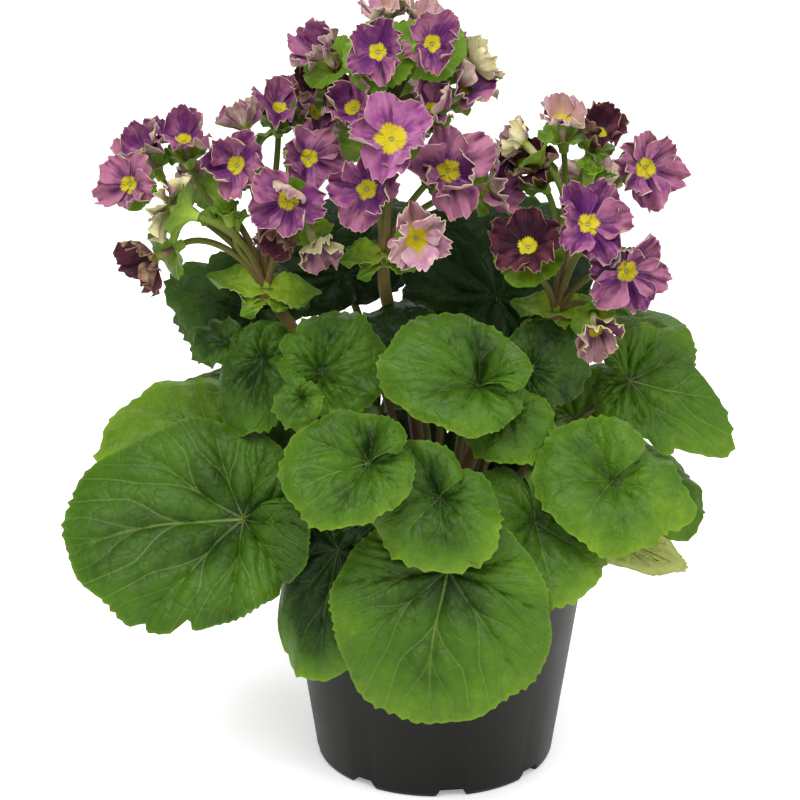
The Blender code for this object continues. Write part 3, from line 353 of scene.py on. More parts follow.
BLOOMS = {
    "left": [
        Bloom((-115, -10, 238), (-0.35, -0.85, 0.4), 11.5, "violet", 7, 12, (52, 0.9, (10, 12, 65, 5, 0))),
        Bloom((-100, -11, 229), (-0.9, 0.3, 0.2), 12.5, "cream", 9, 15, (10, 0.5, (-25, -10, 0, -15, -20))),
        Bloom((-106, -6, 208), (-0.8, -0.5, -0.3), 13, "burgundy", 9, 30, (20, 0.4, (30, 5, 0, 20, 10))),
        Bloom((-75, -6, 244), (-0.25, -0.8, 0.55), 12, "violet", 7, 25, (40, 0.3, (60, 45, -10, 0, 20))),
        Bloom((-72, 9, 254), (-0.35, 0.2, 0.9), 10.5, "violet", 8, 45, (10, 0.5, (15, 35, 20, 10, 25))),
        Bloom((-46, 14, 259), (0.3, -0.7, 0.65), 11.5, "violet", 7, 18, (30, 0.3, (20, 50, 10, 40, 20))),
        Bloom((-48, -9, 248), (0.25, -0.8, 0.55), 11.5, "violet", 7, 15, (20, 0.7, (25, 30, 0, 0, 15))),
        Bloom((-55, -33, 239), (-0.2, -0.95, 0.25), 12.5, "violet", 6, 8, (45, 0.7, (15, 10, 30, 15, 105))),
        Bloom((-59, -14, 222), (-0.3, -0.6, -0.6), 10, "burgundy", 6, 40, (0, 0.4, (20, 20, 30, 20, 20))),
        Bloom((-46, -16, 217), (0.3, -0.6, -0.6), 10, "cream", 7, 36, (0, 0.4, (15, 20, 20, 20, 15))),
        Bloom((-110, 8, 244), (-0.45, -0.25, 0.85), 11.5, "violet", 6, 36),
        Bloom((-96, 13, 248), (-0.15, -0.35, 0.92), 12.5, "violet", 6, 36),
        Bloom((-60, 22, 258), (0.05, -0.35, 0.93), 12, "violet", 6, 36),
        Bloom((-88, 27, 228), (-0.5, 0.75, 0.4), 11.5, "violet", 7, 25),
    ],
    "middle": [
        Bloom((-26, -26, 241), (-0.1, -0.97, 0.2), 13.5, "violet", 7, 14, (14, 0.5, (35, 5, 10, 55, 30))),
        Bloom((-8, -29, 223), (0.1, -0.97, 0.2), 13.5, "pale", 6, 36, (10, 0.6, (10, 30, 5, 15, 10, 25))),
        Bloom((-17, -26, 260), (0.0, -0.8, 0.6), 15, "bright", 8, 10, (18, 0.8, (15, 40, 10, 60, 20)), 1),
        Bloom((4, -16, 245), (0.2, -0.93, 0.3), 16, "violet", 8, 10, (5, 0.6, (20, 30, 70, 10, 95, 0))),
        Bloom((-31, -10, 267), (-0.35, -0.6, 0.7), 12, "violet", 6, 28, (22, 0.7, (10, 70, 30, 0, 20)), 1),
        Bloom((-2, -8, 266), (0.2, -0.4, 0.9), 11, "violet", 6, 35, (20, 0.6, (30, 10, 10, 70, 60)), 1),
        Bloom((20, -2, 235), (0.85, -0.4, 0.3), 14, "violet", 8, 22, (10, 0.4, (0, 20, 30, 10, 20))),
        Bloom(
            (-22, -15, 290), (-0.15, -0.85, 0.5), 11.5, "violet", 11, 15, (-17, 0.3, (20, 45, 5, 0, 40)), 1
        ),
        Bloom((-2, -7, 291), (0.2, -0.85, 0.5), 11.5, "violet", 11, 15, (29, 0.5, (35, 10, 15, 60, 20)), 1),
        Bloom((-42, -4, 286), (-0.5, -0.5, 0.7), 12, "violet", 9, 40, (10, 0.4, (30, 10, 20, 20, 40)), 1),
        Bloom((-41, 4, 272), (-0.5, -0.3, 0.8), 12.5, "burgundy", 6, 36, umbel=1),
        Bloom((9, 4, 270), (0.6, -0.3, 0.7), 12.5, "violet", 6, 36, umbel=1),
        Bloom((13, 8, 279), (0.8, 0.1, 0.5), 11, "cream", 6, 25, umbel=1),
        Bloom((-18, 9, 297), (-0.25, -0.1, 0.95), 10.5, "pale", 6, 36, umbel=1),
        Bloom((-5, 11, 293), (0.3, -0.1, 0.95), 9.5, "pale", 6, 36, umbel=1),
        Bloom((-14, 32, 262), (0.1, 0.9, 0.45), 13, "violet", 7, 25, umbel=1),
        Bloom((-31, 29, 246), (-0.3, 0.92, 0.2), 13, "violet", 7, 25),
    ],
    "right": [
        Bloom((78, -5, 243), (0.25, -0.93, 0.3), 13.5, "violet", 7, 10, (10, 0.8, (15, 25, 60, 5, 10, 30))),
        Bloom((56, -22, 226), (0.0, -0.8, 0.6), 14.5, "violet", 8, 14, (31, 0.3, (30, 55, 10, 5, 10, 20))),
        Bloom((34, -22, 217), (-0.15, -0.7, 0.7), 13.5, "burgundy", 11, 22, (0, 0.3, (20, 10, 5, 5, 10))),
        Bloom((71, -19, 207), (0.2, -0.96, 0.15), 14, "violet", 7, 10, (15, 0.4, (65, 10, 5, 5, 20, 15))),
        Bloom((60, -16, 183), (0.05, -0.9, -0.42), 10.5, "cream", 7, 38, (20, 0.6, (10, 40, 0, 30, 10))),
        Bloom((33, 0, 251), (-0.7, 0.1, 0.7), 9, "cream", 8, 45, (10, 0.9, (20, 10, 20, 0, 30))),
        Bloom((37, 2, 240), (-0.42, -0.4, 0.82), 11, "burgundy", 6, 36),
        Bloom((47, 6, 257), (-0.1, -0.2, 0.95), 10, "pale", 7, 36),
        Bloom((61, 8, 252), (0.28, -0.35, 0.88), 11, "burgundy", 6, 36),
        Bloom((60, 27, 226), (0.2, 0.9, 0.35), 12.5, "violet", 7, 25),
    ],
}


def smooth(value):
    """0 below 0, 1 above 1, and a soft step between."""
    value = np.clip(value, 0.0, 1.0)
    return value * value * (3 - 2 * value)


def noise(places, scale, seed=0):
    """Soft noise between -1 and 1 at each place, with scale bumps to the millimetre."""
    cells = np.asarray(places, float) * scale + seed * 17.37
    base = np.floor(cells)
    part = cells - base
    part = part * part * (3 - 2 * part)
    total = np.zeros(cells.shape[:-1])
    for corner in range(8):
        step = np.array([(corner >> axis) & 1 for axis in range(3)])
        mixed = np.sin((base + step) @ NOISE_TURNS) * NOISE_SPREAD
        value = (mixed - np.floor(mixed)) * 2 - 1
        total += value * np.prod(np.where(step == 1, part, 1 - part), axis=-1)
    return total


def saw(value):
    """Teeth between 0 and 1, one for each unit of value."""
    return 1 - np.abs(2 * (value - np.floor(value)) - 1)


def unit(vectors):
    return vectors / np.maximum(np.linalg.norm(vectors, axis=-1, keepdims=True), 1e-9)


def bell(value, width):
    """1 at 0, falling softly on both sides."""
    return np.exp(-((value / width) ** 2))


def together(*parts):
    """One array of places from its parts, each a number, a column, a row or a grid."""
    return np.stack(np.broadcast_arrays(*parts), axis=-1)


def blade_grid(around, out):
    """Shares across a blade (-1 to 1, a column) and along it (0 to 1, a row)."""
    return np.linspace(-1, 1, around)[:, None], np.linspace(0, 1, out)[None, :]


def full_turn(steps):
    """Angles once round, as a column."""
    return np.linspace(0, TAU, steps, endpoint=False)[:, None]


def axes_of(along, face):
    """Rotation whose columns are along, across and out of the face."""
    out = unit(np.array(face, float))
    across = unit(np.cross(out, np.array(along, float)))
    return np.stack([np.cross(across, out), across, out], axis=1)


def flower_axes(face):
    """Axes of a bloom: up its face, to the left as one looks at it, and out of it."""
    up = (0, 0, 1) if abs(unit(np.array(face, float))[2]) < 0.95 else (0, 1, 0)
    return axes_of(up, face)


def bezier(start, start_handle, end_handle, end, share):
    rest = 1 - share
    near = start * rest**3 + start_handle * 3 * rest**2 * share
    return near + end_handle * 3 * rest * share**2 + end * share**3


def link_object(name, data):
    obj = bpy.data.objects.new(name, data)
    bpy.context.scene.collection.objects.link(obj)
    return obj


def quads_of(index):
    """The four-sided faces of a grid of point numbers."""
    corners = [index[:-1, :-1], index[:-1, 1:], index[1:, 1:], index[1:, :-1]]
    return np.stack(corners, axis=-1).reshape(-1, 4)


class Shape:
    """Points and faces of one piece, gathered by surface. Each point has a UV place, a tone and a vein."""

    def __init__(self):
        self.points = []
        self.uvs = []
        self.tones = []
        self.veins = []
        self.faces = []
        self.slots = []
        self.count = 0

    def add(self, points, uv, tone, vein, faces, slots):
        points = points.reshape(-1, 3)
        self.points.append(points)
        self.uvs.append(uv.reshape(-1, 2))
        self.tones.append(np.broadcast_to(np.ravel(tone), (len(points),)))
        self.veins.append(np.broadcast_to(np.ravel(vein), (len(points),)))
        for part, slot in zip(faces, slots):
            self.faces.append(part + self.count)
            self.slots.append(np.full(len(part), slot))
        self.count += len(points)

    def sheet(self, points, uv, tone, thickness, slots, closed=False, vein=0.0):
        """A thin solid on a grid of points (round, out). closed joins its ends round the middle."""
        grid = points.shape[:2]
        if closed:
            around = np.concatenate([points[-1:], points, points[:1]])
            turning = np.gradient(around, axis=0)[1:-1]
        else:
            turning = np.gradient(points, axis=0)
        normal = unit(np.cross(np.gradient(points, axis=1), turning))
        normal = normal * np.broadcast_to(thickness, grid)[..., None] / 2
        count = grid[0] * grid[1]
        index = np.arange(count).reshape(grid)
        if closed:
            index = np.concatenate([index, index[:1]])
        quads = quads_of(index)
        rims = [index[::-1, 0], index[:, -1]]
        if not closed:
            rims += [index[0, :], index[-1, ::-1]]
        edge = [np.stack([rim[:-1], rim[:-1] + count, rim[1:] + count, rim[1:]], axis=-1) for rim in rims]
        both = np.concatenate([(points + normal).reshape(-1, 3), (points - normal).reshape(-1, 3)])
        tone = np.broadcast_to(tone, grid).ravel()
        vein = np.broadcast_to(vein, grid).ravel()
        self.add(
            both,
            np.concatenate([uv.reshape(-1, 2)] * 2),
            np.concatenate([tone, tone]),
            np.concatenate([vein, vein]),
            [quads, quads[:, ::-1] + count, np.concatenate(edge)],
            [slots[0], slots[1], slots[1]],
        )

    def tube(self, way, radii, sides, tone, slot, flat=1.0):
        """A round solid along a way, with closed ends. The UV place is round it and along it."""
        way = np.asarray(way, float)
        radii = np.broadcast_to(radii, (len(way),))
        ahead = unit(np.gradient(way, axis=0))
        side = unit(np.cross(ahead[0], [0.31, 0.87, 0.38]))
        rings = []
        for place, along, radius in zip(way, ahead, radii):
            side = unit(side - along * (side @ along))
            other = np.cross(along, side)
            turn = np.arange(sides)[:, None] * TAU / sides
            rings.append(place + radius * (np.cos(turn) * side + flat * np.sin(turn) * other))
        points = np.stack(rings, axis=1)
        index = np.arange(sides * len(way)).reshape(sides, len(way))
        index = np.concatenate([index, index[:1]])
        quads = quads_of(index)[:, ::-1]
        share = np.linspace(0, 1, len(way))
        uv = together(np.arange(sides)[:, None] / sides, share[None, :])
        ends = [index[:-1, 0][::-1][None, :], index[:-1, -1][None, :]]
        self.add(points, uv, tone, 0.0, [quads, *ends], [slot, slot, slot])

    def round(self, middle, axis, profile, sides, tone, slot):
        """A round solid about an axis, from places along it and radii."""
        places, radii = zip(*profile)
        self.tube([middle + axis * place for place in places], radii, sides, tone, slot)

    def build(self, name, materials):
        mesh = bpy.data.meshes.new(name)
        points = np.concatenate(self.points) * MM
        loops = np.concatenate([part.ravel() for part in self.faces]).astype(np.int32)
        sizes = np.concatenate([np.full(len(part), part.shape[1]) for part in self.faces])
        mesh.vertices.add(len(points))
        mesh.vertices.foreach_set("co", points.astype(np.float32).ravel())
        mesh.loops.add(len(loops))
        mesh.loops.foreach_set("vertex_index", loops)
        mesh.polygons.add(len(sizes))
        starts = np.concatenate([[0], np.cumsum(sizes)[:-1]]).astype(np.int32)
        mesh.polygons.foreach_set("loop_start", starts)
        mesh.polygons.foreach_set("material_index", np.concatenate(self.slots).astype(np.int32))
        mesh.update(calc_edges=True)
        layer = mesh.uv_layers.new(name="UVMap")
        layer.data.foreach_set("uv", np.concatenate(self.uvs)[loops].astype(np.float32).ravel())
        for key, values in (("tone", self.tones), ("vein", self.veins)):
            attribute = mesh.attributes.new(key, "FLOAT", "POINT")
            attribute.data.foreach_set("value", np.concatenate(values).astype(np.float32))
        for material in materials:
            mesh.materials.append(material)
        mesh.shade_smooth()
        mesh.set_sharp_from_angle(angle=SHARP_ANGLE)
        return link_object(name, mesh)


def margin(leaf, angle):
    """Places of the blade's margin at each angle from the middle vein, along and across it."""
    reach = math.dist(leaf.at, leaf.tip)
    round_radius = reach / (1 + leaf.heart)
    ahead = round_radius * leaf.heart
    radius = ahead * np.cos(angle) + np.sqrt(round_radius**2 - (ahead * np.sin(angle)) ** 2)
    return radius * np.cos(angle), radius * np.sin(angle) * leaf.wide / (2 * round_radius)


def vein_field(place, share):
    """Distance to the nearest main vein and to the nearest side vein, as a share of half the way round."""
    off = np.abs(place / VEIN_GAP - np.round(place / VEIN_GAP)) * VEIN_GAP
    side = np.full(off.shape, 9.0)
    for start, reach, _ in FORKS:
        away = np.abs(off - reach * smooth((share - start) / FORK_LENGTH))
        side = np.minimum(side, np.where(share > start, away, 9.0))
    return off * share, side * share


def blade_surface(leaf, around, out, look):
    """Points of a blade with its teeth, waves, sunken veins and puckers, its tone and its veins. Its tone
    holds painted shade in the funnel, the fold's trough and the vein valleys, and painted light along
    the margin.
    """
    at = np.array(leaf.at, float)
    reach = math.dist(leaf.at, leaf.tip)
    axes = axes_of(np.array(leaf.tip) - at, leaf.face)
    seed = sum(ord(letter) for letter in leaf.name)
    turn = np.linspace(-1, 1, around)[:, None]
    share = np.linspace(0.004, 1, out)[None, :] ** 0.85
    lap = math.radians(leaf.lap + MORE_LAP) * smooth(share * 2)
    angle = turn * (math.pi + lap / 2)
    along, across = margin(leaf, angle)
    ear = np.clip((np.abs(turn) - 0.72) / 0.28, 0, 1) ** 2.4
    teeth = round(reach * TEETH_PER_MM)
    tooth = saw(turn * teeth + 0.5 * np.sin(9 * turn + seed)) ** 1.6
    tooth = tooth * (0.6 + 0.4 * np.sin(23 * turn + seed)) * TOOTH_HEIGHT / reach
    scallop = np.sin(5 * angle + seed) + 0.7 * np.sin(9 * angle + 2 * seed)
    scallop = SCALLOP_DEPTH * (scallop + 0.45 * np.sin(16 * angle + 3 * seed))
    growth = share * (1 - EAR_ROUND * ear) * (1 + share**3 * scallop + share**16 * tooth)
    for place, spread, amount in EDGES.get(leaf.name, ()):
        growth = growth * (1 + amount * share**2 * bell(turn - place, spread))
    along = along * growth
    across = across * growth
    height = DISH_DEEPER * leaf.dish * np.sin(np.minimum(share * 1.5, 1.0) * math.pi / 2)
    height = height - leaf.fall * share**3 - EDGE_ROLL * smooth((share - 0.82) / 0.18) ** 1.5
    height = height - leaf.bend * (np.maximum(along, 0.0) / reach) ** 2
    height = height + leaf.wave * WAVE_HIGHER * share**2 * np.sin(leaf.waves * angle + leaf.turn)
    side = turn * leaf.front
    over = smooth((side - 0.52) / 0.38)
    under = smooth((-side - 0.5) / 0.5)
    height = height + share * ((LOBE_RISE - LOBE_LEVEL * share) * over - LOBE_DROP * under) * reach
    fold, depth = FOLDS.get(leaf.name, (0.5, 0.0))
    trough = depth * bell(side - fold, 0.12)
    swell = 0.6 * depth * bell(side - fold - 0.28, 0.16)
    height = height + reach * share * ((1 - share) * swell - (1 - 0.75 * share) * trough)
    ripple = np.sin(11 * angle + seed) * (1 + 0.6 * np.sin(3 * angle + seed))
    height = height + RIPPLE_HEIGHT * share**5 * ripple
    place = turn + 0.020 * np.sin(6.9 * turn + seed) * smooth(3 - 3 * np.abs(turn))
    place = place + 0.010 * np.sin(5 * share + 9 * turn)
    main, branch = vein_field(place, share)
    height = height - CREASE * reach * np.exp(-main / 0.014) * smooth(share * 3) * (1 - 0.45 * share)
    height = height - 0.4 * CREASE * reach * np.exp(-branch / 0.010) * smooth(share * 2) * (1 - 0.6 * share)
    nearest = np.minimum(main, branch) * math.pi * reach * 0.7
    flat = together(along, across, seed)
    quilt = 1 - np.exp(-((nearest / 2.8) ** 1.5))
    rough = noise(flat, 0.17, 1) * 0.8 + noise(flat, 0.36, 2) * 0.55
    fade = (1 - 0.7 * share**6) * smooth(share * 4)
    relief = QUILT_HEIGHT * quilt + PUCKER_HEIGHT * rough * (0.4 + 0.6 * quilt)
    height = height + fade * look.puckers * relief
    points = at + together(along, across, height) @ axes.T
    low = (points[..., 2] - at[2]) / reach
    tone = look.tone + 0.14 * noise(flat, 0.07, 6) + 0.08 * noise(flat, 0.3, 7)
    # Painted shade: the tone darkens towards the stalk, where the funnel lies in shade.
    tone = tone - 0.20 * bell(share, 0.28) - 0.30 * bell(share, 0.08)
    # The margin grows yellower and brighter out from the middle, more where it lies lower: partly the leaf's
    # own yellower margin, partly painted light shining through it.
    tone = tone + look.margin * smooth((share - 0.45) / 0.55) ** 1.5 * (0.6 - 0.6 * np.clip(low, -1, 1))
    # A painted highlight along the very edge, and painted shade in the sunken valleys along the veins.
    tone = tone + 0.06 * smooth((share - 0.95) / 0.05) - 0.07 * bell(nearest, 1.4)
    # Painted shade in the fold's trough.
    tone = tone - 1.1 * trough * smooth(share * 4) * (1 - share)
    if leaf.name in SPECKLED:
        specks = noise(flat, 0.9, 8) + 0.8 * noise(flat, 0.12, 9) - 0.01 * along
        tone = np.where(specks > 0.72, -0.3, tone)
    return points, together(place, share), tone, axes


def leaf_stalk_way(leaf, axes):
    """The way of a leaf's stalk from its hole in the soil to the blade."""
    at = np.array(leaf.at, float)
    foot = np.array([leaf.hole[0], leaf.hole[1], SOIL_EDGE - 6])
    ground = np.array([leaf.hole[0], leaf.hole[1], SOIL_EDGE + SOIL_RISE + 1])
    arrive = unit(axes @ np.array([leaf.lean, 0, 1]))
    length = np.linalg.norm(at - ground)
    rise = np.array([0, 0, length * 0.35])
    share = np.linspace(0, 1, STALK_STEPS)[:, None]
    return np.concatenate([[foot], bezier(ground, ground + rise, at - arrive * length * 0.3, at, share)])


def make_leaf(leaf, materials):
    """A blade with its stalk, as one piece."""
    look = Look(*LEAF_LOOK.get(leaf.name, PLAIN_LOOK))
    points, uv, tone, axes = blade_surface(leaf, *BLADE_GRID[leaf.size], look)
    shape = Shape()
    thickness = BLADE_THICKNESS * (1 - 0.45 * uv[..., 1] ** 6)
    shape.sheet(points, uv, tone, thickness, (FACE, BACK), vein=look.veins)
    way = leaf_stalk_way(leaf, axes)
    radii = np.linspace(STALK_FOOT_RADIUS, STALK_TOP_RADIUS, len(way))
    shape.tube(way, radii, STALK_SIDES, look.tone, STEM, flat=0.85)
    piece = shape.build(leaf.name + "_fine", materials)
    finish_piece(piece, "leaf_green", *([] if leaf in YOUNG_LEAVES else [leaf.name]))


def finish_piece(piece, slot, *nodes):
    """The piece rides on the part's only body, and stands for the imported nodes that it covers."""
    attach(piece, "root")
    if nodes:
        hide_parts(*nodes)


def petal(shape, bloom, axes, draw):
    """One petal, twisted, folded, frilled and notched, lying over the next."""
    u, v = blade_grid(*PETAL_GRID)
    length = bloom.radius * PETAL_LENGTH * draw["long"]
    teeth = 0.05 * saw(u * 7.3 + draw["shift"]) + 0.03 * np.sin(3.1 * math.pi * u + draw["wave"])
    tip = 1.03 - 0.42 * np.abs(u) ** 2.3 - 0.09 * bell(u, 0.16) + teeth
    rise = draw["rise"] + (draw["end"] - draw["rise"]) * smooth(v * 1.4)
    steps = np.full_like(v, length / (v.size - 1))
    steps[:, 0] = 0
    along = EYE_RADIUS + np.cumsum(steps * np.cos(rise), axis=1) * tip
    height = np.cumsum(steps * np.sin(rise), axis=1) * tip
    half = draw["wide"] * length * (0.12 + 0.44 * smooth(v / 0.8) - 0.05 * v**4) * (1 + 0.05 * saw(v * 6))
    across = u * half
    lift = draw["cup"] * half * u**2
    lift = lift - draw["fold"] * half * (1 - np.abs(u)) ** 1.4 * smooth(v * 2)
    lift = lift + 0.13 * length * v**2 * np.sin(2.3 * math.pi * u + draw["wave"])
    lift = lift + 0.09 * length * v**3 * np.sin(5.1 * math.pi * u + 2 * draw["wave"])
    twist = draw["lean"] * smooth(v * 1.3)
    turn = draw["turn"]
    along = along - lift * np.sin(rise) * 0.6
    height = height + lift * np.cos(rise) + across * np.sin(twist)
    across = across * np.cos(twist)
    x = along * np.cos(turn) - across * np.sin(turn)
    y = along * np.sin(turn) + across * np.cos(turn)
    points = np.array(bloom.eye) + together(x, y, height) @ axes.T
    shape.sheet(points, together(u, v), draw["tone"], PETAL_THICKNESS, (FACE, BACK))


def corolla(shape, bloom, draw_from):
    """The petals round a yellow eye, with the tube behind them."""
    axes = flower_axes(bloom.face)
    eye = np.array(bloom.eye, float)
    drawn = (draw_from.uniform(0, 72), draw_from.uniform(0.1, 0.6), None)
    spin, tone, ends = bloom.pose or drawn
    if not ends:
        ends = [draw_from.choice((-15, 0, 10, 25, 40)) for _ in range(PETALS)]
        if bloom.face[2] > 0.7:
            turns = [math.radians(spin + 360 * step / PETALS) for step in range(PETALS)]
            far = [(axes @ [math.cos(turn), math.sin(turn), 0])[1] for turn in turns]
            ends = [18 + 30 * way + draw_from.uniform(-8, 8) for way in far]
    for index, end in enumerate(ends):
        draw = {
            "turn": math.radians(spin + 360 * index / len(ends) + draw_from.uniform(-5, 5)),
            "shift": draw_from.uniform(0, 1),
            "long": draw_from.uniform(0.93, 1.07),
            "wide": 1.0 if len(ends) == PETALS else NARROW_PETAL,
            "rise": math.radians(bloom.bowl + draw_from.uniform(-3, 8)),
            "end": math.radians(bloom.bowl + end + draw_from.uniform(-6, 6)),
            "fold": draw_from.choice((-0.4, 0.2, 0.45, 0.7)),
            "wave": draw_from.uniform(0, TAU),
            "cup": draw_from.uniform(-0.4, 0.65),
            "lean": draw_from.uniform(-0.25, 0.6),
            "tone": tone + draw_from.choice((-0.45, -0.15, 0.0, 0.2, 0.35)),
        }
        petal(shape, bloom, axes, draw)
    turn = full_turn(ROUND_SIDES)
    height, radius = np.array(THROAT_PROFILE).T
    throat = eye + together(radius * np.cos(turn), radius * np.sin(turn), height) @ axes.T
    uv = np.zeros((*throat.shape[:2], 2)) + [0.0, 0.08]
    shape.sheet(throat, uv, tone, THROAT_THICKNESS, (FACE, FACE), closed=True)
    shape.round(eye, axes[:, 2], PISTIL_PROFILE, FINE_SIDES, 0.5, PISTIL)
    shape.round(eye, axes[:, 2], TUBE_PROFILE, STALK_SIDES, tone, BACK)


def cup(shape, base, axes, radius, gap, tone, seed, around=CUP_GRID[0]):
    """A green cup whose narrow foot opens into a broad, leafy collar with toothed lobes."""
    turn = full_turn(around)
    v = np.linspace(0, 1, CUP_GRID[1])[None, :]
    lobe = np.abs(np.cos(PETALS * turn / 2 + seed)) ** 0.6
    tooth = saw(30 * turn / TAU + seed) ** 1.4
    share = v * (0.86 + 0.13 * lobe + 0.06 * tooth + 0.05 * np.sin(2 * turn + seed))
    wide = CUP_FOOT_RADIUS + 1.2 * share
    wide = wide + (radius * CUP_SPREAD - CUP_FOOT_RADIUS) * np.clip((share - 0.2) / 0.8, 0, 1) ** 1.15
    height = -(gap + CUP_LENGTH) + CUP_LENGTH * (1.75 * share - 0.85 * share**2)
    height = height + share**3 * (0.9 * np.sin(3 * turn + seed) + 0.5 * np.sin(7 * turn + 2 * seed))
    height = height + 0.45 * share**2 * np.cos(10 * turn)
    points = base + together(wide * np.cos(turn), wide * np.sin(turn), height) @ axes.T
    shape.sheet(points, together(5 * turn / TAU, v), tone, 0.36 - 0.2 * v, (FACE, BACK), closed=True)


def pedicel_way(start, foot, axes, steps):
    """The way of a thin stalk from the umbel, up and over to the foot of a cup that looks along the axes."""
    start = start + unit(foot - start) * (PEDICEL_START - 2.5)
    length = np.linalg.norm(foot - start)
    rise = start + np.array([0, 0, length * 0.25]) + (foot - start) * 0.12
    arrive = foot - axes[:, 2] * length * 0.35
    return bezier(start, rise, arrive, foot + axes[:, 2] * 0.6, np.linspace(0, 1, steps)[:, None])


def smooth_way(points, steps):
    """Points of a soft curve through the given points."""
    points = np.array(points, float)
    ends = np.concatenate([[points[0] * 2 - points[1]], points, [points[-1] * 2 - points[-2]]])
    way = [points[:1]]
    share = np.linspace(0, 1, steps + 1)[1:, None]
    for index in range(1, len(points)):
        before, start, end, after = ends[index - 1 : index + 3]
        way.append(bezier(start, start + (end - before) / 6, end - (after - start) / 6, end, share))
    return np.concatenate(way)


def bract(shape, at, tip, wide, tone, seed):
    """A broad, folded, toothed leaf at the foot of an umbel."""
    u, v = blade_grid(*BRACT_GRID)
    at = np.array(at, float)
    tip = np.array(tip, float)
    reach = math.dist(at, tip)
    axes = axes_of(tip - at, (0.1 * (tip - at)[0] / reach, -0.8, 0.9))
    teeth = 1 + 0.20 * saw(v * 7 + seed / 3) * np.abs(u) ** 4
    half = wide * 0.66 * np.sin(math.pi * (0.12 + 0.80 * v) ** 1.25) ** 0.75 * teeth
    half = half * (1 + 0.18 * np.sin(4 * v + 2 * u + seed))
    along = -2 + (reach + 2) * v * (1 - 0.22 * u**2)
    height = np.abs(u) * (1.8 + 0.8 * np.sin(17 * v + seed))
    height = height + 3.4 * np.sin(8 * v + 3 * u + seed) * u**2 * v - 3.0 * v**2
    points = at + together(along, u * half, height) @ axes.T
    shape.sheet(points, together(u, v), tone, BRACT_THICKNESS, (FACE, BACK))


def make_flower_stalk(stalk, blooms, materials, draw_from):
    """The thick stalk with its umbels, thin stalks, cups, bracts and buds, as one piece."""
    shape = Shape()
    way = np.concatenate([[stalk.way[0]], smooth_way(stalk.way[1:], WAY_STEPS)])
    radii = np.linspace(SCAPE_FOOT_RADIUS, SCAPE_TOP_RADIUS, len(way))
    shape.tube(way, radii, SCAPE_SIDES, 0.0, STEM)
    for umbel in stalk.umbels:
        shape.round(np.array(umbel), np.array([0, 0, 1]), UMBEL_PROFILE, ROUND_SIDES, 0.1, STEM)
    for bloom in blooms:
        axes = flower_axes(bloom.face)
        eye = np.array(bloom.eye, float)
        foot = eye - axes[:, 2] * (CUP_GAP + CUP_LENGTH)
        start = np.array(stalk.umbels[bloom.umbel], float)
        thin = pedicel_way(start, foot, axes, PEDICEL_STEPS)
        radii = np.linspace(PEDICEL_RADIUS + 0.3, PEDICEL_RADIUS + 0.1, PEDICEL_STEPS)
        shape.tube(thin, radii, STALK_SIDES, 0.5, THIN_STEM)
        tone = draw_from.uniform(0.3, 0.8)
        cup(shape, eye, axes, bloom.cup, CUP_GAP, tone, draw_from.uniform(0, 9))
    for place, face in stalk.buds:
        axes = flower_axes(face)
        place = np.array(place, float)
        starts = [np.array(umbel, float) for umbel in stalk.umbels]
        start = min(starts, key=lambda umbel: np.linalg.norm(umbel - place))
        thin = pedicel_way(start, place - axes[:, 2] * CUP_LENGTH, axes, BUD_STALK_STEPS)
        shape.tube(thin, PEDICEL_RADIUS - 0.1, FINE_SIDES, 0.5, THIN_STEM)
        for ring, size in enumerate((BUD_RADIUS + 0.8, BUD_RADIUS - 0.4, BUD_RADIUS - 1.4)):
            tone = draw_from.uniform(0.5, 0.9)
            cup(shape, place, axes, size, 0.6 * ring, tone, draw_from.uniform(0, 9), BUD_AROUND)
    for index, (at, tip, wide) in enumerate(stalk.bracts):
        bract(shape, at, tip, wide, draw_from.uniform(0.0, 0.3), index)
    for umbel in stalk.umbels:
        for index in range(SMALL_BRACTS):
            turn = TAU * (index + draw_from.uniform(-0.2, 0.2)) / SMALL_BRACTS
            reach = draw_from.uniform(8, 12)
            side = np.array([math.cos(turn), math.sin(turn), 0])
            at = np.array(umbel) + side * 1.5 + np.array([0, 0, -2.0])
            tip = at + side * reach + np.array([0, 0, draw_from.uniform(4, 11)])
            wide = draw_from.uniform(6, 8)
            bract(shape, at, tip, wide, draw_from.uniform(0.0, 0.4), 2 * index + 5)
    piece = shape.build(stalk.name + "_fine", materials)
    finish_piece(piece, "stalk_green", stalk.name)


def turned(name, profile, steps):
    """A turned solid, whose profile in the XZ plane starts and ends on the axis."""
    mesh = bpy.data.meshes.new(name)
    places = [(radius * MM, 0.0, height * MM) for radius, height in profile]
    mesh.from_pydata(places, [(i, i + 1) for i in range(len(places) - 1)], [])
    obj = link_object(name, mesh)
    screw = obj.modifiers.new("turn", "SCREW")
    screw.steps = steps
    screw.render_steps = steps
    screw.use_merge_vertices = True
    screw.merge_threshold = 0.00001
    return obj


def pot_wall_radius(height):
    """Outer radius of the pot's wall below the lip."""
    return BASE_RADIUS + (WALL_TOP_RADIUS - BASE_RADIUS) * height / (POT_HEIGHT - LIP_HEIGHT)


def apply_modifiers(obj):
    graph = bpy.context.evaluated_depsgraph_get()
    mesh = bpy.data.meshes.new_from_object(obj.evaluated_get(graph))
    obj.modifiers.clear()
    obj.data = mesh


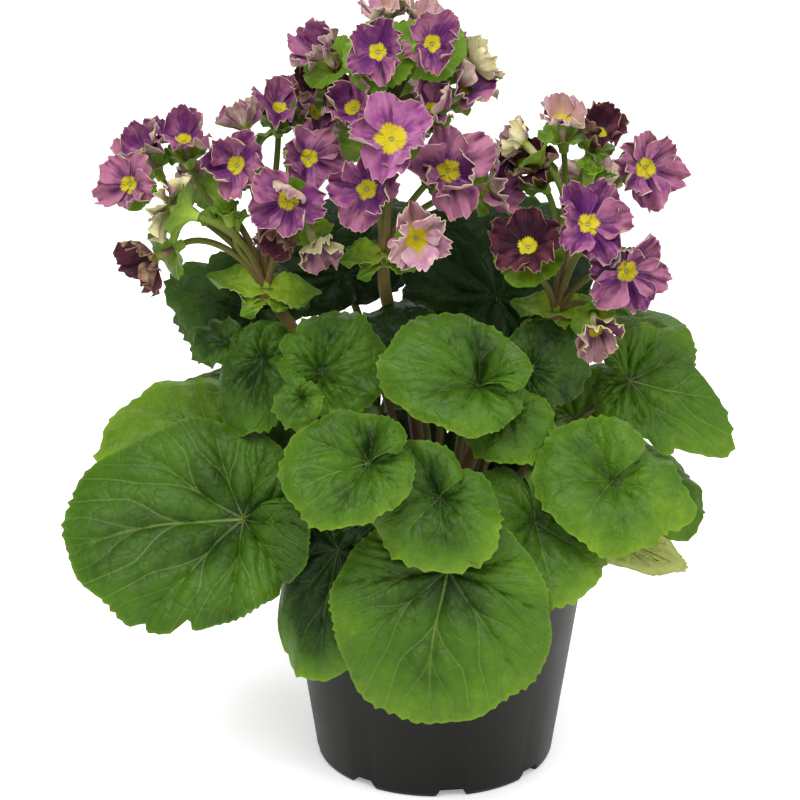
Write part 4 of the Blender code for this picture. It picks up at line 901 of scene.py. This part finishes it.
def make_pot(material):
    """The pot's shell, turned, with its notches and drain holes cut."""
    lip_foot = POT_HEIGHT - LIP_HEIGHT
    profile = [
        (0, FLOOR),
        (RING_INNER_RADIUS, FLOOR),
        (RING_INNER_RADIUS + 4, RING_HEIGHT - 1),
        (pot_wall_radius(RING_HEIGHT) - WALL, RING_HEIGHT),
        (pot_wall_radius(lip_foot - 1) - WALL, lip_foot - 1),
        (RIM_RADIUS - WALL - 1.4, lip_foot + 2),
        (RIM_RADIUS - WALL, POT_HEIGHT - 0.5),
        (RIM_RADIUS - WALL + 0.4, POT_HEIGHT),
        (RIM_RADIUS - 0.3, POT_HEIGHT),
        (RIM_RADIUS, POT_HEIGHT - 0.8),
        (RIM_RADIUS - 0.6, lip_foot + 0.5),
        (RIM_RADIUS - 1.4, lip_foot),
        (WALL_TOP_RADIUS + 0.6, lip_foot - 0.2),
        (WALL_TOP_RADIUS, lip_foot - 1.2),
        (pot_wall_radius(2.4), 2.4),
        (BASE_RADIUS - 0.4, 0.8),
        (BASE_RADIUS - 1.4, 0),
        (0, 0),
    ]
    pot = turned("pot_fine", profile, POT_STEPS)
    cutters = bpy.data.collections.new("pot_cutters")
    bpy.context.scene.collection.children.link(cutters)
    for index in range(NOTCHES):
        turn = NOTCH_TURN + index * TAU / NOTCHES
        spin = Matrix.Rotation(turn, 4, "Z")
        bm = bmesh.new()
        made = bmesh.ops.create_cube(bm, size=1.0)["verts"]
        for vert in made:
            width = NOTCH_TOP_WIDTH if vert.co.z > 0 else NOTCH_WIDTH
            height = NOTCH_HEIGHT if vert.co.z > 0 else -1.0
            reach = vert.co.x * (NOTCH_DEPTH + 4) + BASE_RADIUS + 2 - NOTCH_DEPTH / 2
            vert.co = Vector((reach, vert.co.y * width, height)) * MM
        low = NOTCH_HEIGHT - 2
        high = RING_HEIGHT + 3
        depth = (high - low) * MM
        made = bmesh.ops.create_cone(
            bm, cap_ends=True, segments=20, radius1=DRAIN_RADIUS * MM, radius2=DRAIN_RADIUS * MM, depth=depth
        )["verts"]
        place = Vector((BASE_RADIUS - NOTCH_DEPTH + 1.5, 0, (low + high) / 2)) * MM
        bmesh.ops.translate(bm, verts=made, vec=place)
        bmesh.ops.transform(bm, matrix=spin, verts=bm.verts)
        mesh = bpy.data.meshes.new(f"notch_{index}")
        bm.to_mesh(mesh)
        bm.free()
        cutters.objects.link(bpy.data.objects.new(mesh.name, mesh))
    boolean = pot.modifiers.new("cut", "BOOLEAN")
    boolean.operation = "DIFFERENCE"
    boolean.operand_type = "COLLECTION"
    boolean.collection = cutters
    boolean.solver = "EXACT"
    boolean.use_self = True
    apply_modifiers(pot)
    for obj in list(cutters.objects):
        bpy.data.objects.remove(obj)
    bpy.data.collections.remove(cutters)
    pot.data.materials.clear()
    pot.data.materials.append(material)
    pot.data.shade_smooth()
    pot.data.set_sharp_from_angle(angle=POT_SHARP_ANGLE)
    finish_piece(pot, "pot_plastic", "pot")


def soil_height(x, y):
    """The soil's uneven top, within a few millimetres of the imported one."""
    reach = np.hypot(x, y)
    dome = SOIL_EDGE + SOIL_RISE * (1 - smooth(reach / 60))
    place = together(x, y, 0.0)
    return dome + 0.9 * noise(place, 0.11, 3) + 0.7 * noise(place, 0.3, 4) + 0.35 * noise(place, 0.8, 5)


def make_soil(materials, draw_from):
    """The soil's uneven body, with loose crumbs on top."""
    shape = Shape()
    around, out = SOIL_GRID
    turn = full_turn(around)
    edge = pot_wall_radius(SOIL_EDGE) - WALL - 0.3
    reach = np.linspace(0.2, edge, out)[None, :]
    x = reach * np.cos(turn)
    y = reach * np.sin(turn)
    top = together(x, y, soil_height(x, y))
    under = np.array([edge - 6, 0.2])[None, :]
    foot = together(under * np.cos(turn), under * np.sin(turn), SOIL_FOOT)
    points = np.concatenate([top, foot], axis=1)
    uv = np.zeros((around, out + 2, 2))
    index = np.arange(around * (out + 2)).reshape(around, out + 2)
    index = np.concatenate([index, index[:1]])
    quads = quads_of(index)
    ends = [index[:-1, 0][None, :], index[:-1, -1][::-1][None, :]]
    shape.add(points, uv, 0.3, 0.0, [quads, *ends], [0, 0, 0])
    for _ in range(CRUMBS):
        reach = edge * math.sqrt(draw_from.uniform(0, 0.94))
        turn = draw_from.uniform(0, TAU)
        size = draw_from.uniform(*CRUMB_SIZES)
        x = reach * math.cos(turn)
        y = reach * math.sin(turn)
        lean = np.array([draw_from.uniform(-most, most) for most in (1, 1, 0.4)])
        long = draw_from.uniform(0.7, 2.2) * size
        lean = unit(lean) * long / 2
        spot = np.array([x, y, soil_height(x, y) + 0.3 * size])
        crumb = [(place, radius * size * CRUMB_THICKNESS) for place, radius in CRUMB_PROFILE]
        shape.round(spot, lean, crumb, CRUMB_SIDES, draw_from.uniform(0, 1), 0)
    piece = shape.build("soil_fine", materials)
    finish_piece(piece, "potting_soil", "soil")


class Paint:
    """A procedural material, built node by node."""

    def __init__(self, name):
        self.material = bpy.data.materials.new(name)
        self.material.use_nodes = True
        self.tree = self.material.node_tree
        self.shader = self.tree.nodes["Principled BSDF"]
        self.uv = None

    def node(self, kind, inputs=(), output=0, **settings):
        made = self.tree.nodes.new(kind)
        for key, value in settings.items():
            setattr(made, key, value)
        for key, value in dict(inputs).items():
            self.put(made.inputs[key], value)
        return made.outputs[output]

    def put(self, socket, value):
        if isinstance(value, bpy.types.NodeSocket):
            self.tree.links.new(value, socket)
        elif isinstance(value, tuple) and len(value) == 3 and socket.type == "RGBA":
            socket.default_value = (*value, 1.0)
        else:
            socket.default_value = value

    def math(self, operation, *values):
        return self.node("ShaderNodeMath", list(enumerate(values)), operation=operation)

    def times(self, first, second):
        return self.math("MULTIPLY", first, second)

    def plus(self, first, second):
        return self.math("ADD", first, second)

    def scaled(self, value, factor, more):
        """value times factor, plus more."""
        return self.math("MULTIPLY_ADD", value, factor, more)

    def step(self, value, low, high):
        """0 at low and 1 at high, softly."""
        inputs = {"Value": value, "From Min": low, "From Max": high}
        return self.node("ShaderNodeMapRange", inputs, interpolation_type="SMOOTHSTEP")

    def mix(self, share, low, high):
        inputs = {0: share, 6: low, 7: high}
        return self.node("ShaderNodeMix", inputs, output=2, data_type="RGBA")

    def place(self):
        return self.node("ShaderNodeTexCoord", output=3)

    def noise(self, scale, detail=2.0, stretch=None):
        place = self.place()
        if stretch:
            place = self.node("ShaderNodeMapping", {"Vector": place, "Scale": stretch})
        return self.node("ShaderNodeTexNoise", {"Vector": place, "Scale": scale, "Detail": detail})

    def wander(self, scale, amount):
        """The place, moved softly to and fro."""
        noise = self.node("ShaderNodeTexNoise", {"Vector": self.place(), "Scale": scale}, output=1)
        move = self.node("ShaderNodeVectorMath", {0: noise, "Scale": amount}, operation="SCALE")
        return self.node("ShaderNodeVectorMath", {0: self.place(), 1: move}, operation="ADD")

    def cells(self, place, scale, width):
        """0 on the borders between cells, and 1 inside them."""
        inputs = {"Vector": place, "Scale": scale}
        return self.step(self.node("ShaderNodeTexVoronoi", inputs, feature="DISTANCE_TO_EDGE"), 0.0, width)

    def uv_parts(self):
        split = self.tree.nodes.new("ShaderNodeSeparateXYZ")
        self.put(split.inputs[0], self.node("ShaderNodeUVMap", uv_map="UVMap"))
        return split.outputs[0], split.outputs[1]

    def attribute(self, name):
        return self.node("ShaderNodeAttribute", output=2, attribute_name=name)

    def bump(self, height, strength, distance):
        inputs = {"Height": height, "Strength": strength, "Distance": distance}
        self.put(self.shader.inputs["Normal"], self.node("ShaderNodeBump", inputs))

    def set(self, **values):
        for key, value in values.items():
            self.put(self.shader.inputs[key.replace("_", " ")], value)
        return self.material


def vein_lines(paint):
    """Share of vein at each place of a blade: main veins and their forks, thinner towards the margin."""
    a, b = paint.uv_parts()
    off = paint.math("PINGPONG", a, VEIN_GAP / 2)
    width = paint.scaled(b, -0.0022, 0.0044)
    middle = paint.scaled(paint.step(paint.math("ABSOLUTE", a), 0.11, 0.09), 0.45, 0.55)
    lines = paint.step(paint.math("DIVIDE", paint.times(off, b), width), 1.0, 0.3)
    lines = paint.times(paint.times(lines, middle), paint.step(b, 1.3, 0.0))
    for start, reach, strength in FORKS:
        away = paint.math("SUBTRACT", off, paint.times(paint.step(b, start, start + FORK_LENGTH), reach))
        away = paint.times(paint.math("ABSOLUTE", away), b)
        line = paint.step(paint.math("DIVIDE", away, width), 0.75, 0.2)
        line = paint.times(line, paint.step(b, start, start + 0.05))
        lines = paint.math("MAXIMUM", lines, paint.times(line, strength))
    return lines


def leaf_paint(name, front):
    """Leaf skin from dark green to yellow-green by its tone, which carries painted shade and light, with pale
    veins, a fine net between them and a painted highlight along the edge.
    """
    paint = Paint(name)
    tone = paint.attribute("tone")
    vein = paint.attribute("vein")
    patch = paint.noise(55.0, 3.0)
    fine = paint.noise(520.0, 3.0)
    tone = paint.plus(tone, paint.scaled(fine, 0.20, -0.10))
    if front:
        body = paint.mix(paint.step(tone, 0.0, 0.5), (0.006, 0.020, 0.002), (0.040, 0.098, 0.005))
        body = paint.mix(paint.step(tone, 0.4, 1.0), body, (0.125, 0.220, 0.009))
        body = paint.mix(paint.step(tone, 1.0, 1.6), body, (0.300, 0.330, 0.090))
        pale = (0.15, 0.21, 0.035)
    else:
        body = paint.mix(paint.step(tone, 0.0, 1.0), (0.050, 0.092, 0.022), (0.15, 0.22, 0.030))
        pale = (0.18, 0.24, 0.08)
    body = paint.mix(paint.times(vein, vein_lines(paint)), body, pale)
    place = paint.wander(60.0, 0.006)
    broad = paint.cells(place, 165.0, 0.16)
    net = paint.cells(place, 430.0, 0.25)
    height = paint.scaled(fine, 0.5, paint.scaled(net, 0.25, broad))
    paint.bump(height, 0.42, 0.0005)
    # A paler line along the very edge: a painted edge highlight.
    rim = paint.step(paint.uv_parts()[1], 0.975, 1.0)
    body = paint.mix(paint.times(rim, 0.16), body, (0.19, 0.27, 0.03))
    rough = paint.scaled(patch, 0.24, 0.32 if front else 0.55)
    return paint.set(Base_Color=body, Roughness=rough, Specular_IOR_Level=0.13)


def stalk_paint(name, foot, top, hairy):
    """Stalk skin from foot to top, with fine ribs and down."""
    paint = Paint(name)
    a, b = paint.uv_parts()
    patch = paint.noise(150.0, 3.0)
    fine = paint.noise(1500.0, 2.0, stretch=(1.0, 1.0, 0.35))
    share = paint.plus(b, paint.scaled(patch, 0.6, -0.3))
    body = paint.mix(paint.step(share, 0.05, 0.95), foot, top)
    body = paint.mix(paint.times(paint.step(fine, 0.45, 0.7), 0.30), body, (0.16, 0.14, 0.05))
    rib = paint.math("SINE", paint.times(a, TAU * 7))
    height = paint.scaled(rib, 0.12, fine)
    paint.bump(height, 0.5, 0.0004)
    paint.set(Sheen_Weight=hairy, Sheen_Roughness=0.5)
    return paint.set(Base_Color=body, Roughness=0.6, Specular_IOR_Level=0.2)


def cup_paint(name, front):
    """Skin of the green cups and bracts, with midribs and a paler foot."""
    paint = Paint(name)
    a, b = paint.uv_parts()
    tone = paint.attribute("tone")
    fine = paint.noise(500.0, 3.0)
    deep = paint.mix(tone, (0.050, 0.120, 0.005), (0.130, 0.240, 0.010))
    fresh = paint.mix(tone, (0.150, 0.240, 0.010), (0.260, 0.370, 0.016))
    body = paint.mix(paint.step(paint.plus(b, fine), 0.7, 1.4), fresh, deep)
    rib = paint.step(paint.math("PINGPONG", a, 0.5), 0.07, 0.0)
    body = paint.mix(paint.times(rib, 0.45), body, (0.21, 0.29, 0.07))
    if not front:
        body = paint.mix(0.3, body, (0.19, 0.26, 0.07))
    paint.bump(fine, 0.5, 0.0005)
    return paint.set(Base_Color=body, Roughness=0.5, Specular_IOR_Level=0.18)


# Colours of the petals' faces: near the eye, in the middle, light blotches (partly the petals' own dusty
# colour, partly painted highlight), and the frilled edge.
PETAL_COLOURS = {
    "violet": ((0.044, 0.005, 0.066), (0.140, 0.026, 0.120), (0.320, 0.120, 0.190), (0.53, 0.41, 0.34)),
    "bright": ((0.100, 0.012, 0.105), (0.215, 0.038, 0.180), (0.345, 0.125, 0.255), (0.48, 0.35, 0.34)),
    "burgundy": ((0.008, 0.001, 0.006), (0.034, 0.005, 0.014), (0.105, 0.028, 0.042), (0.28, 0.19, 0.12)),
    "pale": ((0.36, 0.25, 0.10), (0.36, 0.15, 0.25), (0.50, 0.34, 0.36), (0.56, 0.48, 0.42)),
    "cream": ((0.050, 0.012, 0.040), (0.150, 0.045, 0.095), (0.300, 0.160, 0.170), (0.44, 0.36, 0.26)),
}
EYE_SHARE = {"pale": 0.32, "bright": 0.31}
PETAL_BACKS = {
    "violet": ((0.270, 0.140, 0.160), (0.470, 0.400, 0.270)),
    "bright": ((0.300, 0.130, 0.230), (0.460, 0.360, 0.300)),
    "burgundy": ((0.100, 0.035, 0.038), (0.300, 0.220, 0.120)),
    "pale": ((0.40, 0.25, 0.23), (0.54, 0.48, 0.31)),
    "cream": ((0.42, 0.37, 0.18), (0.56, 0.52, 0.31)),
}


def petal_paint(kind, front):
    """Petal skin: yellow eye, dark rays, blotched middle and pale edge in front, dusty and cream behind. The
    light blotches are partly the petals' own colour and partly painted highlight.
    """
    paint = Paint(f"petal_{kind}_{'face' if front else 'back'}")
    a, b = paint.uv_parts()
    tone = paint.attribute("tone")
    patch = paint.noise(210.0, 4.0)
    fine = paint.noise(900.0, 2.0)
    rays = paint.math("SINE", paint.scaled(a, 17.0, paint.times(patch, 12.0)))
    edge = paint.step(paint.plus(b, paint.times(fine, 0.05)), 0.985, 1.02)
    if front:
        near, middle, light, rim = PETAL_COLOURS[kind]
        deep = tuple(0.5 * (one + other) for one, other in zip(near, middle))
        middle = paint.mix(paint.step(tone, -0.2, 0.5), deep, middle)
        # Light blotches, and the dusty outer part below, take the light colour: partly the petals' own colour,
        # partly a painted highlight.
        blotch = paint.step(paint.plus(patch, paint.times(tone, 0.38)), 0.50, 0.95)
        body = paint.mix(blotch, middle, light)
        streaks = paint.math("SINE", paint.scaled(a, 31.0, paint.times(fine, 9.0)))
        streaks = paint.scaled(streaks, 0.30, 0.70)
        dusty = paint.times(paint.step(b, 0.45, 1.0), paint.step(patch, 0.30, 0.68))
        dusty = paint.times(dusty, streaks)
        body = paint.mix(dusty, body, light)
        reach = paint.scaled(paint.math("ABSOLUTE", a), -0.45, 0.72)
        reach = paint.scaled(rays, 0.09, reach)
        inner = paint.step(paint.math("SUBTRACT", b, reach), 0.10, -0.42)
        body = paint.mix(paint.times(inner, 0.85), body, near)
        body = paint.mix(paint.times(edge, 0.4), body, rim)
        star = EYE_SHARE.get(kind, 0.215)
        star = paint.scaled(paint.math("ABSOLUTE", a), -0.06, star)
        star = paint.scaled(rays, 0.016, star)
        star = paint.scaled(patch, 0.10, paint.plus(star, -0.05))
        eye = paint.step(paint.math("SUBTRACT", b, star), 0.03, -0.03)
        body = paint.mix(eye, body, (0.42, 0.35, 0.010))
    else:
        middle, rim = PETAL_BACKS[kind]
        body = paint.mix(paint.step(patch, 0.35, 0.7), middle, rim)
        body = paint.mix(paint.times(paint.step(rays, 0.3, 1.0), 0.3), body, middle)
        body = paint.mix(paint.step(b, 0.40, 0.05), body, (0.27, 0.29, 0.09))
        body = paint.mix(paint.times(edge, 0.35), body, rim)
    height = paint.scaled(rays, 0.3, fine)
    paint.bump(height, 0.45, 0.0003)
    return paint.set(Base_Color=body, Roughness=0.65, Specular_IOR_Level=0.15)


def pistil_paint():
    """Yellow-green skin of the pistil in each eye."""
    paint = Paint("pistil")
    patch = paint.noise(900.0, 4.0)
    body = paint.mix(paint.step(patch, 0.3, 0.7), (0.26, 0.28, 0.03), (0.40, 0.38, 0.08))
    paint.bump(patch, 0.3, 0.0005)
    return paint.set(Base_Color=body, Roughness=0.5)


def pot_paint():
    """Black-grey moulded plastic with a fine grain, faint scuffs and specks of dust."""
    paint = Paint("pot_black")
    patch = paint.noise(45.0, 4.0)
    grain = paint.noise(2600.0, 2.0)
    specks = paint.node("ShaderNodeTexVoronoi", {"Vector": paint.place(), "Scale": 210.0})
    specks = paint.times(paint.step(specks, 0.09, 0.04), paint.step(paint.noise(90.0, 1.0), 0.58, 0.64))
    body = paint.mix(patch, (0.0035, 0.003, 0.002), (0.007, 0.0065, 0.0045))
    body = paint.mix(paint.times(specks, 0.5), body, (0.12, 0.11, 0.09))
    paint.bump(grain, 0.25, 0.0002)
    rough = paint.scaled(patch, 0.14, 0.40)
    return paint.set(Base_Color=body, Roughness=rough, Specular_IOR_Level=0.15)


def soil_paint():
    """Dark, rough potting soil."""
    paint = Paint("soil_crumbs")
    tone = paint.attribute("tone")
    patch = paint.noise(500.0, 4.0)
    dark = paint.mix(tone, (0.012, 0.008, 0.005), (0.05, 0.028, 0.015))
    body = paint.mix(paint.step(patch, 0.4, 0.75), dark, (0.075, 0.045, 0.025))
    paint.bump(patch, 0.8, 0.001)
    return paint.set(Base_Color=body, Roughness=0.95, Specular_IOR_Level=0.15)


def make_plant():
    """Every visible piece of the part."""
    leaf_materials = [
        leaf_paint("leaf_face", True),
        leaf_paint("leaf_back", False),
        stalk_paint("leaf_stalk", (0.085, 0.036, 0.018), (0.060, 0.095, 0.014), 0.05),
    ]
    for leaf in LEAVES + YOUNG_LEAVES:
        make_leaf(leaf, leaf_materials)
    stalk_materials = [
        cup_paint("cup_inside", True),
        cup_paint("cup_outside", False),
        stalk_paint("flower_stalk", (0.105, 0.044, 0.016), (0.110, 0.085, 0.018), 0.03),
        stalk_paint("thin_stalk", (0.085, 0.052, 0.012), (0.085, 0.130, 0.012), 0.03),
    ]
    pistil = pistil_paint()
    petals = {kind: [petal_paint(kind, True), petal_paint(kind, False), pistil] for kind in PETAL_COLOURS}
    draw_from = random.Random(SEED)
    for key, stalk in STALKS.items():
        make_flower_stalk(stalk, BLOOMS[key], stalk_materials, draw_from)
        own = sum(1 for bloom in BLOOMS[key] if bloom.pose)
        for number, bloom in enumerate(BLOOMS[key], 1):
            shape = Shape()
            corolla(shape, bloom, draw_from)
            if bloom.pose:
                node = f"bloom_{key}_{number:02d}"
                piece = shape.build(node + "_fine", petals[bloom.kind])
                finish_piece(piece, "petal_" + bloom.kind, node)
            else:
                piece = shape.build(f"bloom_{key}_joined_{number - own}", petals[bloom.kind])
                finish_piece(piece, "petal_" + bloom.kind)
    make_pot(pot_paint())
    make_soil([soil_paint()], draw_from)


def make_stage():
    """A plain pale floor, soft light and the photograph's camera."""
    mesh = bpy.data.meshes.new("floor")
    bm = bmesh.new()
    bmesh.ops.create_grid(bm, x_segments=1, y_segments=1, size=FLOOR_SIZE)
    bm.to_mesh(mesh)
    bm.free()
    floor = link_object("floor", mesh)
    paint = Paint("floor_pale")
    paint.set(Emission_Color=(1.0, 1.0, 1.0), Emission_Strength=0.3)
    mesh.materials.append(paint.set(Base_Color=(0.90, 0.90, 0.90), Roughness=0.9))

    world = bpy.data.worlds.new("studio")
    world.use_nodes = True
    background = world.node_tree.nodes["Background"]
    background.inputs["Color"].default_value = (1.0, 1.0, 1.0, 1.0)
    background.inputs["Strength"].default_value = 0.40
    bpy.context.scene.world = world

    for name, (place, size, power) in LIGHTS.items():
        light = bpy.data.lights.new(name, "AREA")
        light.size = size
        light.energy = power
        lamp = link_object(name, light)
        lamp.location = place
        lamp.rotation_euler = (LIGHT_AIM - place).to_track_quat("-Z", "Y").to_euler()

    camera = bpy.data.cameras.new("camera")
    camera.lens = CAMERA_LENS
    camera.sensor_width = CAMERA_SENSOR
    camera.clip_end = 50.0
    view = link_object("camera", camera)
    away = Vector((0.0, -math.cos(CAMERA_PITCH), math.sin(CAMERA_PITCH))) * CAMERA_AWAY
    view.location = CAMERA_AIM + away
    view.rotation_euler = Euler((math.radians(90) - CAMERA_PITCH, 0, 0))
    bpy.context.scene.camera = view
    bpy.context.scene.view_settings.view_transform = "Standard"


make_plant()
make_stage()
